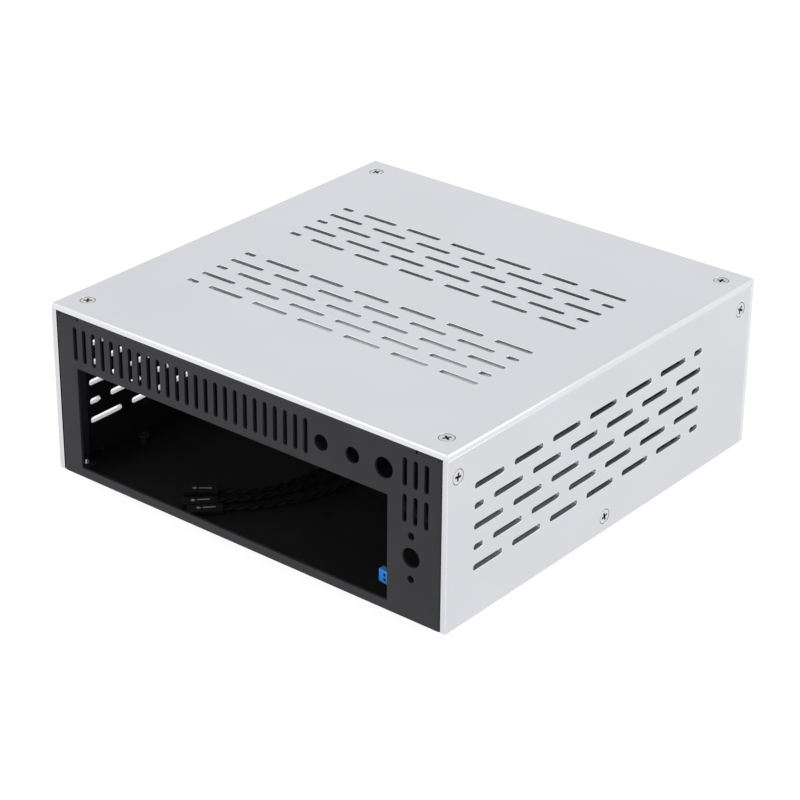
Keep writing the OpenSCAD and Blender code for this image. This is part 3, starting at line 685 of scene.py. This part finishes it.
# Screws and nuts
# Heads are rings of radius and height, recesses are arm, half width and depth
sunkHead = {"head": [(2.7, -0.1), (2.89, -0.15), (2.95, -0.3), (1.5, -1.6)], "end": -6.1}
panHead = {"head": [(2.0, 1.8), (2.3, 1.68), (2.6, 1.35), (2.74, 0.9), (2.75, 0.15), (2.65, 0.0), (1.5, 0.0)],
           "end": -4.0}
shank = {"radius": 1.5, "root": 1.24, "neck": 0.1, "tip": 0.3, "taper": 0.15}
recess = ((1.71, 0.48, 0), (1.65, 0.42, 0.06), (1.188, 0.336, 0.69), (0.693, 0.252, 1.15))
screwTurns = {"cover": (12, -31, 64, 38), "left": (25, 8, -18), "right": (-40, 15, 52),
              "tray": (-109.8, 73, -69.8, 113), "board": (-213, -99)}


# Threaded profile: crest and root radii in turn, from one depth to another
def threadProfile(low, high, crest, root, pitch=0.5):
    steps = max(2, int(round((low - high) / (pitch / 2))))
    return [(crest if i % 2 else root, low - (low - high) * i / steps) for i in range(steps + 1)]


def addScrew(bm, at, kind):
    s, top, low = shank, kind["head"][0][1], kind["head"][-1][1]
    profile = kind["head"] + threadProfile(low - s["neck"], kind["end"] + s["tip"], s["radius"], s["root"])
    profile += [(s["root"] - s["taper"], kind["end"])]
    # The recess walls take the second material, which is painted shade
    cross = [(crossPoints(arm, half), top - depth, 1) for arm, half, depth in recess]
    addSolid(bm, at, latheStack(profile, 32), pockets=[cross])


def makeScrews(name, node, bodyName, kind, at, spots, turns):
    bm = bmesh.new()
    for (x, y), turn in zip(spots, turns):
        addScrew(bm, at @ shiftedBy(x, y) @ turned(turn), kind)
    makePiece(bm, name, [screwSteel, recessPaintedShade], node, 40, bodyName)


makeScrews("coverScrews", "top_cover_screws", "cover", sunkHead, topAt, coverSpots, screwTurns["cover"])
makeScrews("leftScrews", "left_side_screws", "case", sunkHead, sideAt(-1), sideSpots, screwTurns["left"])
makeScrews("rightScrews", "right_side_screws", "case", sunkHead, sideAt(1), sideSpots, screwTurns["right"])
makeScrews("trayScrews", "tray_screws", "case", panHead, underAt, [(x, -y) for x, y in traySpots],
           screwTurns["tray"])

clinch = {"shank": 2.08, "body": 3.15, "height": 1.6, "bore": 1.55, "boreRoot": 1.72, "sunk": 0.05,
          "edge": 0.15, "round": 0.25, "flare": 0.2}


def addClinchNut(bm, at):
    c, t = clinch, plate["sheet"]
    low = -t - c["height"]
    outline = [(c["shank"], -c["sunk"]), (c["shank"], -t), (c["body"] - c["edge"], -t),
               (c["body"], -t - c["edge"]), (c["body"], low + c["round"]), (c["body"] - c["round"], low)]
    mouth = c["bore"] + c["flare"]
    bore = threadProfile(-c["sunk"] - c["round"], low + c["flare"], c["bore"], c["boreRoot"])
    addSolid(bm, at, latheStack(outline, 32), [latheStack([(mouth, -c["sunk"])] + bore + [(mouth, low)], 32)])


bm = bmesh.new()
for spot in coverSpots:
    addClinchNut(bm, shiftedBy(*spot, body["cover"]))
for side in (-1, 1):
    for spot in sideSpots:
        addClinchNut(bm, sideAt(side, body["inner"]) @ shiftedBy(*spot))
makePiece(bm, "clinchNuts", [blackInsidePaintedShade], "clinch_nuts", 40)
print("screws and nuts made")

# Black sheets, drawn flat and folded
rear = {"ioX": 7.3, "ioZ": 30.225, "ioWidth": 158.75, "ioHeight": 44.45, "ventWidth": 2.0, "ventLong": 14.5,
        "ventShort": 11.5, "ventZ": 63.15, "ventStart": 87, "ventPitch": 5, "ventCount": 25,
        "shortX": (-80, -85, -90), "shortZ": (64.65, 49.85), "aerialX": (-40.5, -55.5), "aerial": 3.25,
        "round": (-70.3, 4.2), "rowZ": 62.8, "jackX": -83.2, "jackZ": 30.2, "jack": 4.0,
        "jackScrew": 1.5, "jackPitch": 18, "ioCorner": 0.4}
wallTabs = {"topLow": 85.6, "topHigh": 95.2, "slit": 0.7, "footNear": 1.4, "footFar": 8.4, "footReach": 9.0,
            "tab": 15.7, "sideFlange": 13.2, "relief": 0.3, "clear": 0.1, "nutHole": 2.1, "footHole": 1.6,
            "past": 0.01}


# Where a fold starts and how much flat sheet its bend takes up
def foldMeasures():
    b = plate["bend"]
    return b, body["inner"] - b, (b - plate["sheet"] / 2) * math.pi / 2


# Flat outline of a black wall: side flanges, two tabs that go under the cover and two that stand on the floor
def wallOutline(g):
    t = wallTabs
    b, start, arc = foldMeasures()
    flat, topStart, footStart = start + arc, body["cover"] - b, body["floor"] + b
    flangeEnd, tabEnd = flat + t["sideFlange"] - b, topStart + arc + t["tab"] - b
    footEnd = footStart - arc - (t["footReach"] - b)
    near, far = flat + t["footNear"], flat + t["footFar"]
    low, high = body["floor"] + t["clear"] + g, body["cover"] - t["clear"] - g
    footCut, topCut = footStart + t["relief"] + g, topStart - t["relief"] - g
    tabLow, tabHigh, outerCut = t["topLow"], t["topHigh"] - g, t["topHigh"] + t["slit"] / 2 + g
    return mirrored([
        (flat - g, body["base"] + g), (flat - g, low),
        (near - t["slit"] - g, low), (near - t["slit"] - g, footCut), (near + g, footCut),
        (near + g, footEnd + g), (far - g, footEnd + g), (far - g, footCut),
        (far + t["slit"] + g, footCut), (far + t["slit"] + g, low),
        (flangeEnd - g, low), (flangeEnd - g, high), (outerCut, high),
        (outerCut, topCut), (tabHigh, topCut), (tabHigh, tabEnd - g), (tabLow + g, tabEnd - g),
        (tabLow + g, topCut), (tabLow - t["slit"] - g, topCut), (tabLow - t["slit"] - g, body["cover"] - g)])


# Holes in the flat sheet that end up in the tabs and flanges; y values count inwards from the outer face
def flangeHoles(coverScrewIn, sideScrewIn, footScrewIn):
    b, start, arc = foldMeasures()
    tabY = body["cover"] - b + arc + coverScrewIn - b
    footY = body["floor"] + b - arc - (body["inner"] - screw["trayX"] - b)
    rounds = ((screw["coverX"], tabY, wallTabs["nutHole"]),
              (start + arc + sideScrewIn - b, screw["sideFront"][1], wallTabs["nutHole"]),
              (start + arc + footScrewIn - b, footY, wallTabs["footHole"]))
    return [((sign * x, y), radius) for sign in (-1, 1) for x, y, radius in rounds]


def addWall(bm, holes, screwsIn):
    t, r = plate["sheet"], plate["sheetRim"]
    cuts = [roundStack(c, radius, t, r, count=24) for c, radius in flangeHoles(*screwsIn)]
    addSolid(bm, Matrix.Identity(4), edgeStack(wallOutline, t, r), holes + cuts)
    b, start, arc = foldMeasures()
    past = wallTabs["past"]
    foot = (start + arc + wallTabs["footNear"] - past, start + arc + wallTabs["footFar"] + past)
    top = (wallTabs["topLow"] - past, wallTabs["topHigh"] + past)
    for sign in (-1, 1):
        foldEdge(bm, 1, 1, body["cover"] - b, sorted(sign * x for x in top), b, t)
        foldEdge(bm, 1, -1, -(body["floor"] + b), sorted(sign * x for x in foot), b, t)
    for sign in (-1, 1):
        foldEdge(bm, 0, sign, start, (-body["top"], body["top"]), b, t)


def makeRearPanel():
    t, r, p = plate["sheet"], plate["sheetRim"], rear
    holes = [windowStack((p["ioX"], p["ioZ"]), (p["ioWidth"], p["ioHeight"]), p["ioCorner"], t, r)]
    vents = [((p["ventStart"] - i * p["ventPitch"], p["ventZ"]), p["ventLong"])
             for i in range(p["ventCount"])]
    vents += [((x, z), p["ventShort"]) for x in p["shortX"] for z in p["shortZ"]]
    holes += [slotStack(c, n, p["ventWidth"], t, r, 0, True, 8) for c, n in vents]
    rounds = [((x, p["rowZ"]), p["aerial"]) for x in p["aerialX"]]
    rounds += [((p["round"][0], p["rowZ"]), p["round"][1]), ((p["jackX"], p["jackZ"]), p["jack"])]
    rounds += [((p["jackX"], p["jackZ"] + s * p["jackPitch"] / 2), p["jackScrew"]) for s in (-1, 1)]
    holes += [roundStack(c, radius, t, r) for c, radius in rounds]
    screwsIn = [body["halfDepth"] - y for y in (screw["coverY"][1], screw["sideRear"][0], screw["trayY"][1])]
    bm = bmesh.new()
    addWall(bm, holes, screwsIn)
    bm.transform(rearAt)
    makePiece(bm, "rearWall", [blackPanel], "rear_panel")


makeRearPanel()
print("rear panel folded")

# Front plate and the black wall behind it
controls = {"z": 34.0, "switchX": 54.0, "powerX": 74.0, "driveX": 82.0, "usbX": (-62.0, -42.0),
            "usbHole": (13.6, 6.2), "usbWallHole": (14.1, 6.7), "usbCorner": 0.3, "usbRim": 0.15,
            "lightHole": 1.6, "lightWallHole": 2.6, "switchHole": 6.0, "recess": 8.1, "recessDepth": 1.8}
stud = {"x": 86.0, "z": (15.0, 64.4), "radius": 1.5, "root": 1.26, "start": -2.2, "end": -9.5,
        "wallHole": 1.7, "collar": 0.3, "tip": 0.2, "neck": 0.1}
frontNut = {"across": 3.18, "near": 3.7, "far": 6.1, "bore": 1.55, "threadDepth": 0.15}
hexEdge = {"taper": 0.25, "high": 0.2}
shelf = {"x": (-71.0, -33.0), "width": 8.0, "top": 29.55, "nearY": -96.1, "farY": -72.5, "holeY": -77.0,
         "corner": 1.2}
studSpots = pairedPlaces(stud["x"], stud["z"])
lightSpots = [(x, controls["z"]) for x in (controls["powerX"], controls["driveX"])]
switchSpot = (controls["switchX"], controls["z"])


def usbWindows(size, thickness, rim, mat):
    return [windowStack((x, controls["z"]), size, controls["usbCorner"], thickness, rim, mat)
            for x in controls["usbX"]]


def makeFrontPanel():
    k, t, r = controls, plate["front"], plate["sheetRim"]
    middle, height = (0, (body["base"] + body["cover"]) / 2), body["cover"] - body["base"]
    outline = chamferedStack(middle, 2 * body["halfWidth"], height, t, plate["frontCorner"])
    step = [(k["recess"] + r, 0, 1), (k["recess"], -r, 1), (k["recess"], -k["recessDepth"], 1),
            (k["switchHole"], -k["recessDepth"], 1), (k["switchHole"], -t)]
    holes = [latheStack(step, 64, switchSpot)]
    holes += [roundStack(spot, k["lightHole"], t, r, 1, 1) for spot in lightSpots]
    holes += usbWindows(k["usbHole"], t, k["usbRim"], 1)
    bm = bmesh.new()
    addSolid(bm, frontAt, outline, holes, innerMat=2)
    s = stud
    for spot in studSpots:
        profile = [(s["radius"], s["start"]), (s["radius"], -t - s["collar"])]
        profile += threadProfile(-t - s["collar"] - s["neck"], s["end"] + s["tip"], s["radius"], s["root"])
        profile = [(*level, 3) for level in profile + [(s["root"] - s["neck"], s["end"])]]
        addSolid(bm, frontAt, latheStack(profile, 24, spot), outerMat=3, innerMat=3)
    makePiece(bm, "frontPlate",
              [aluminiumFront, cutEdge, blackInsidePaintedShade, screwSteel], "front_panel")


def makeFrontWall():
    k, t, r, outer = controls, plate["sheet"], plate["sheetRim"], body["wall"]
    holes = [roundStack(switchSpot, k["switchHole"], t, r, count=56)]
    holes += [roundStack(spot, k["lightWallHole"], t, r) for spot in lightSpots]
    holes += [roundStack(spot, stud["wallHole"], t, r, count=24) for spot in studSpots]
    holes += usbWindows(k["usbWallHole"], t, r, 0)
    bm = bmesh.new()
    addWall(bm, holes, [y - outer for y in (screw["coverY"][0], screw["sideFront"][0], screw["trayY"][0])])
    bm.transform(shiftedBy(0, outer) @ facingFront)
    near, far = shelf["nearY"], shelf["farY"]
    for x in shelf["x"]:
        outline = boxStack((x, (far + near) / 2), shelf["width"], far - near, shelf["corner"], t, r)
        hole = roundStack((x, shelf["holeY"]), frontNut["bore"], t, r, count=24)
        addSolid(bm, shiftedBy(0, 0, shelf["top"]), outline, [hole])
    makePiece(bm, "frontWall", [blackInsidePaintedShade], "front_bulkhead")


def addHexNut(bm, at, across, near, far, bore, root):
    e = hexEdge
    outline = [(across - e["taper"], -near), (across, -near - e["high"]),
               (across, e["high"] - far), (across - e["taper"], -far)]
    mouth = bore + e["high"]
    hole = [(mouth, -near)] + threadProfile(-near - e["high"], e["high"] - far, bore, root) + [(mouth, -far)]
    addSolid(bm, at, latheStack(outline, 6), [latheStack(hole, 32)])


makeFrontPanel()
makeFrontWall()
n = frontNut
bm = bmesh.new()
for spot in studSpots:
    addHexNut(bm, frontAt @ shiftedBy(*spot), n["across"], n["near"], n["far"], n["bore"],
              n["bore"] + n["threadDepth"])
makePiece(bm, "frontNuts", [screwSteel], "front_panel_nuts")
print("front plate and front wall made")

# Floor tray, standoffs and feet
tray = {"sideTop": 17.2, "sideReach": 78.55, "front": -95.8, "slit": 0.7, "relief": 0.3, "screwHole": 1.7,
        "nutHole": 2.1, "past": 0.01}
standoffs = {"places": ((86.74, -67.8), (-70.74, -67.8), (-70.74, 87.14), (86.74, 64.28)), "top": 9.2,
             "radius": 2.5, "edge": 0.2, "shank": 2.08, "shankEnd": 1.15, "shankEdge": 0.1, "bore": 1.25,
             "root": 1.45, "mouth": 0.1, "threadStart": 0.25, "threadPast": 0.3, "boreEnd": 0.4}
# Rings of radius and depth, counted from the ground
foot = {"inset": 83.5, "rings": [(4.7, 0), (5.2, -0.12), (5.45, -0.5), (6.0, -3.4)],
        "dimple": [(2.2, 0), (2.0, -0.4), (1.2, -0.5)]}


# Seen from underneath: x to the right, y towards the front
def makeTray():
    t, r = plate["sheet"], plate["sheetRim"]
    b, start, arc = foldMeasures()
    end = start + arc + tray["sideTop"] - body["base"] - b
    reach, notch = tray["sideReach"], tray["sideReach"] + tray["slit"]

    def outline(g):
        side, cut = body["inner"] - g, start - tray["relief"] - g
        return mirrored([(side, -body["rearIn"] + g), (side, -notch - g), (cut, -notch - g),
                         (cut, -reach + g), (end - g, -reach + g), (end - g, reach - g), (cut, reach - g),
                         (cut, notch + g), (side, notch + g), (side, -tray["front"] - g)])

    sideHole = start + arc + screw["sideLow"][1] - body["base"] - b
    spots = [(x, -y, tray["nutHole"]) for x, y in standoffs["places"]]
    spots += [(x, -y, tray["screwHole"]) for x, y in traySpots]
    spots += [(x * sideHole, 0, tray["nutHole"]) for x in (-1, 1)]
    holes = [roundStack((x, y), radius, t, r, count=28) for x, y, radius in spots]
    bm = bmesh.new()
    addSolid(bm, Matrix.Identity(4), edgeStack(outline, t, r), holes)
    for sign in (-1, 1):
        foldEdge(bm, 0, sign, start, (-reach - tray["past"], reach + tray["past"]), b, t)
    bm.transform(underAt)
    makePiece(bm, "floorTray", [blackInsidePaintedShade], "base_tray")


def makeStandoffs():
    bm = bmesh.new()
    o = standoffs
    low = body["floor"] - o["top"]
    end = low - o["shankEnd"]
    profile = [(o["radius"] - o["edge"], 0), (o["radius"], -o["edge"]), (o["radius"], low), (o["shank"], low),
               (o["shank"], end + o["shankEdge"]), (o["shank"] - o["shankEdge"], end)]
    bore = [(o["root"] + o["mouth"], 0)]
    bore += threadProfile(-o["threadStart"], low - o["threadPast"], o["bore"], o["root"])
    bore += [(o["bore"], low - o["boreEnd"])]
    for spot in o["places"]:
        addSolid(bm, shiftedBy(*spot, o["top"]), latheStack(profile, 36), pockets=[latheStack(bore, 28)])
    makePiece(bm, "boardStandoffs", [nearBlackSteel], "board_standoffs", 40)


def makeFeet():
    bm = bmesh.new()
    profile = foot["rings"] + [(foot["rings"][-1][0], -body["base"])]
    for x, y in pairedPlaces(foot["inset"], (-foot["inset"], foot["inset"])):
        at = shiftedBy(x, y) @ facingDown
        addSolid(bm, at, latheStack(profile, 48), pockets=[latheStack(foot["dimple"], 32)])
    makePiece(bm, "rubberFeet", [footRubber], "rubber_feet", 40)


makeTray()
makeStandoffs()
makeFeet()
print("floor tray, standoffs and feet made")

# Power switch; depths are counted inwards from the front face
buttonRings = [(4.7, 0), (4.92, -0.08), (5.0, -0.3), (5.0, -2.5), (1.5, -2.5), (1.5, -8.65)]
buttonDish = [(4.3, 0), (3.0, -0.05), (1.5, -0.08)]
bridgeRings = [(3.3, -8.65), (3.4, -8.75), (3.4, -9.15), (3.3, -9.25)]
switch = {"flange": [(7.65, 0), (8.0, -0.35), (8.0, -1.2), (5.9, -1.2)], "thread": 5.9, "root": 5.68,
          "threadStart": -2.0, "threadEnd": -9.6, "pitch": 0.75,
          "back": [(5.9, -10.0), (5.9, -17.7), (5.6, -18.0)],
          "well": [(5.22, 0), (5.1, -0.12), (5.1, -7.0, 1), (1.6, -7.0, 1), (1.6, -8.6, 1), (4.6, -8.6, 1),
                   (4.6, -16.0, 1)], "wellFloor": 7.0,
          "seal": 6.7, "sealWire": 0.28, "sealDepth": 1.5, "nut": 8.6, "nutNear": 3.7, "nutFar": 5.7,
          "nutBore": 0.05, "nutRoot": 0.2}
spring = {"radius": 2.6, "wire": 0.25, "near": 2.8, "far": 6.7, "turns": 4, "steps": 24, "press": 1}
terminal = {"near": 0.4, "plate": (2.8, 3.0, 0.5), "blade": (0.6, 1.0, 11.7), "depth": 10.3, "rim": 0.08,
            "plateCorner": 0.3, "bladeCorner": 0.12}
switchAt = frontAt @ shiftedBy(*switchSpot)


def addTorus(bm, at, major, minor, depth, around=64, sides=14):
    rings = []
    for i in range(around):
        a = 2 * math.pi * i / around
        ring = []
        for j in range(sides):
            b = 2 * math.pi * j / sides
            reach = major + minor * math.cos(b)
            point = (reach * math.cos(a), reach * math.sin(a), minor * math.sin(b) - depth)
            ring.append(bm.verts.new(at @ Vector(point)))
        rings.append(ring)
    for near, far in zip(rings, rings[1:] + rings[:1]):
        joinRings(bm, near, far)


def makeSwitch():
    w = switch
    bm = bmesh.new()
    addSolid(bm, switchAt, latheStack(buttonRings, 64), pockets=[latheStack(buttonDish, 64)])
    makePiece(bm, "powerButton", [turnedSteel], "power_button", 30, "button")
    bm = bmesh.new()
    addSolid(bm, switchAt, latheStack(bridgeRings, 40))
    makePiece(bm, "contactBridge", [goldFlash], "contact_bridge", body="button")
    bm = bmesh.new()
    thread = threadProfile(w["threadStart"], w["threadEnd"], w["thread"], w["root"], w["pitch"])
    profile = w["flange"] + thread + w["back"]
    addSolid(bm, switchAt, latheStack(profile, 64), pockets=[latheStack(w["well"], 64)])
    makePiece(bm, "switchHousing", [turnedSteel, blackNylon], "switch_housing", 30)
    bm = bmesh.new()
    addTorus(bm, switchAt, w["seal"], w["sealWire"], w["sealDepth"])
    makePiece(bm, "switchSeal", [footRubber], "switch_seal", 60)
    bm = bmesh.new()
    addHexNut(bm, switchAt, w["nut"], w["nutNear"], w["nutFar"], w["thread"] + w["nutBore"],
              w["thread"] + w["nutRoot"])
    makePiece(bm, "switchNut", [turnedSteel], "switch_nut")


# Two flat contacts in the back of the switch, with their solder blades
def makeTerminals():
    bm = bmesh.new()
    m = terminal
    for sign in (-1, 1):
        for size, corner in ((m["plate"], m["plateCorner"]), (m["blade"], m["bladeCorner"])):
            x = sign * (m["near"] + size[0] / 2)
            addBlock(bm, switchAt @ shiftedBy(x, 0, -m["depth"]), *size, m["rim"], corner)
    makePiece(bm, "switchTerminals", [goldFlash], "switch_terminals")


def makeSpring():
    g = spring
    steps = g["steps"] * g["turns"]
    line = []
    for i in range(steps + 1):
        a = 2 * math.pi * g["turns"] * i / steps
        depth = g["near"] + (g["far"] - g["near"]) * i / steps
        line.append(mm * (switchAt @ Vector((g["radius"] * math.cos(a), g["radius"] * math.sin(a), -depth))))
    piece = sweepWires("switchSpring", line, g["wire"] * mm, sides=10, side=(0, 1, 0))
    standFor(piece, "case", [springWire], "switch_spring")
    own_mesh(piece)


makeSwitch()
makeTerminals()
makeSpring()
print("power switch made")

# Lights
lensRings = [(0.525, 0), (1.05, -0.06), (1.395, -0.22), (1.5, -0.5), (1.5, -4.3), (1.95, -4.3), (1.95, -5.2),
             (1.85, -5.3)]
clipRings = [(2.4, -2.55), (2.55, -2.7), (2.55, -3.75), (3.4, -3.75), (3.4, -4.15), (3.3, -4.25)]
clipBore = [(1.55, -2.55), (1.55, -4.25)]
clips = bmesh.new()
for spot, name, slotName, mat, node in (
        (lightSpots[0], "powerLight", "green_lens", greenLens, "power_light"),
        (lightSpots[1], "driveLight", "red_lens", redLens, "drive_light")):
    at = frontAt @ shiftedBy(*spot)
    bm = bmesh.new()
    addSolid(bm, at, latheStack(lensRings, 36))
    makePiece(bm, name, [mat], node, 40)
    addSolid(clips, at, latheStack(clipRings, 36), holes=[latheStack(clipBore, 32)])
makePiece(clips, "lightClips", [blackNylon], "light_clips", 40)
print("lights made")

# USB sockets on their board
usb = {"board": (-52.0, -83.5), "boardSize": (46.0, 22.0), "boardTop": 31.15, "boardThick": 1.6,
       "boardCorner": 0.6, "boardRim": 0.05, "z": 34.0, "shell": (13.1, 5.7, 17.0), "wall": 0.3, "inset": 0.3,
       "shellCorner": 0.75, "shellRim": 0.1, "rimCorner": 0.7, "mouth": (0.3, 0.6, 0.4), "insideCorner": 0.5,
       "block": (12.4, 5.0, 7.0), "blockStart": 9.95, "blockCorner": 0.3, "tongue": (11.0, 1.84, 10.0),
       "tongueStart": 1.1, "tongueZ": 35.22, "contact": (1.0, 0.12, 7.2), "contacts": 4, "contactPitch": 2.4,
       "contactStart": 2.3}
usbRelief = {"low": (-58.0, -77.5, 31.15), "size": (12.0, 8.0, 7.0), "rim": 0.3, "corner": 0.8}


def makeUsbBoard():
    u, r = usb, usbRelief
    spots = [(x, shelf["holeY"]) for x in shelf["x"]]
    top = shiftedBy(0, 0, u["boardTop"])
    outline = boxStack(u["board"], *u["boardSize"], u["boardCorner"], u["boardThick"], u["boardRim"])
    holes = [roundStack(spot, screw["clear"], u["boardThick"], u["boardRim"], 1, 1, 32) for spot in spots]
    bm = bmesh.new()
    addSolid(bm, top, outline, holes)
    makePiece(bm, "usbBoard", [boardMask, goldFlash], "usb_board")
    makeScrews("usbBoardScrews", "usb_board_screws", "case", panHead, top, spots, screwTurns["board"])
    bm = bmesh.new()
    x, y, z = [r["low"][i] + r["size"][i] * (0.5, 0.5, 1)[i] for i in range(3)]
    addBlock(bm, shiftedBy(x, y, z), *r["size"], r["rim"], r["corner"])
    makePiece(bm, "usbCableRelief", [blackNylon], "usb_cable_relief")


# A pressed steel shell open at the front, and the blue tongue with its contacts inside it
def makeUsbSocket(x, side):
    u = usb
    w, h, d = u["shell"]
    rim = u["shellRim"]
    edge = boxPoints((0, 0), w, h, u["shellCorner"])
    outline = [(boxPoints((0, 0), w - rim, h - rim, u["rimCorner"]), 0), (edge, -rim), (edge, -d)]
    wide, high = w - 2 * u["wall"], h - 2 * u["wall"]
    wider, corner, depth = u["mouth"]
    throat = boxPoints((0, 0), wide, high, u["insideCorner"])
    inside = [(boxPoints((0, 0), wide + wider, high + wider, corner), 0), (throat, -depth),
              (throat, u["wall"] - d)]
    bm = bmesh.new()
    addSolid(bm, frontAt @ shiftedBy(x, u["z"], -u["inset"]), outline, pockets=[inside])
    makePiece(bm, "usbShell" + side, [tinPlate], "usb_shell_" + side.lower())
    bm = bmesh.new()
    addBlock(bm, frontAt @ shiftedBy(x, u["z"], -u["blockStart"]), *u["block"], corner=u["blockCorner"])
    addBlock(bm, frontAt @ shiftedBy(x, u["tongueZ"], -u["tongueStart"]), *u["tongue"])
    low = u["tongueZ"] - u["tongue"][1] / 2
    for i in range(u["contacts"]):
        across = x + u["contactPitch"] * (i - (u["contacts"] - 1) / 2)
        addBlock(bm, frontAt @ shiftedBy(across, low, -u["contactStart"]), *u["contact"], 0.03, 0.05, mat=1)
    makePiece(bm, "usbTongue" + side, [bluePlastic, goldFlash],
              "usb_tongue_" + side.lower())


makeUsbBoard()
for x, side in zip(controls["usbX"], ("Left", "Right")):
    makeUsbSocket(x, side)
print("USB sockets made")

# Ground
ground = {"size": 30, "z": -0.0002, "grey": 0.08, "roughness": 0.7, "glow": 0.95}
floor = bpy.data.meshes.new("floor")
bm = bmesh.new()
groundAt = shiftedBy(0, 0, ground["z"])
bmesh.ops.create_grid(bm, x_segments=8, y_segments=8, size=ground["size"], matrix=groundAt)
bm.to_mesh(floor)
bm.free()
floorMat, tree, floorShader = makeMaterial("pale floor", [ground["grey"]] * 3, ground["roughness"])
setInputs(floorShader, {"Emission Color": (1, 1, 1, 1), "Emission Strength": ground["glow"]})
floor.materials.append(floorMat)
floorObject = bpy.data.objects.new("floor", floor)
bpy.context.scene.collection.objects.link(floorObject)

# Studio light
studio = {"sky": 0.9, "target": (0, 0, 0.04),
          "softboxes": {"key": ((-1.4, -0.6, 1.6), (1.6, 1.2), 7), "fill": ((1.2, 1.6, 1.3), (1.4, 1.4), 4)}}
world = bpy.data.worlds.new("studio")
bpy.context.scene.world = world
world.use_nodes = True
setInputs(world.node_tree.nodes["Background"], {"Color": (1, 1, 1, 1), "Strength": studio["sky"]})


def addSoftbox(name, location, size, power):
    light = bpy.data.lights.new(name, "AREA")
    light.shape = "RECTANGLE"
    light.size, light.size_y = size
    light.energy = power
    softbox = bpy.data.objects.new(name, light)
    softbox.location = location
    aim = Vector(studio["target"]) - Vector(location)
    softbox.rotation_euler = aim.to_track_quat("-Z", "Y").to_euler()
    bpy.context.scene.collection.objects.link(softbox)


for name, (location, size, power) in studio["softboxes"].items():
    addSoftbox(name, location, size, power)
bpy.context.scene.view_settings.view_transform = "Standard"
print("floor and lights set")
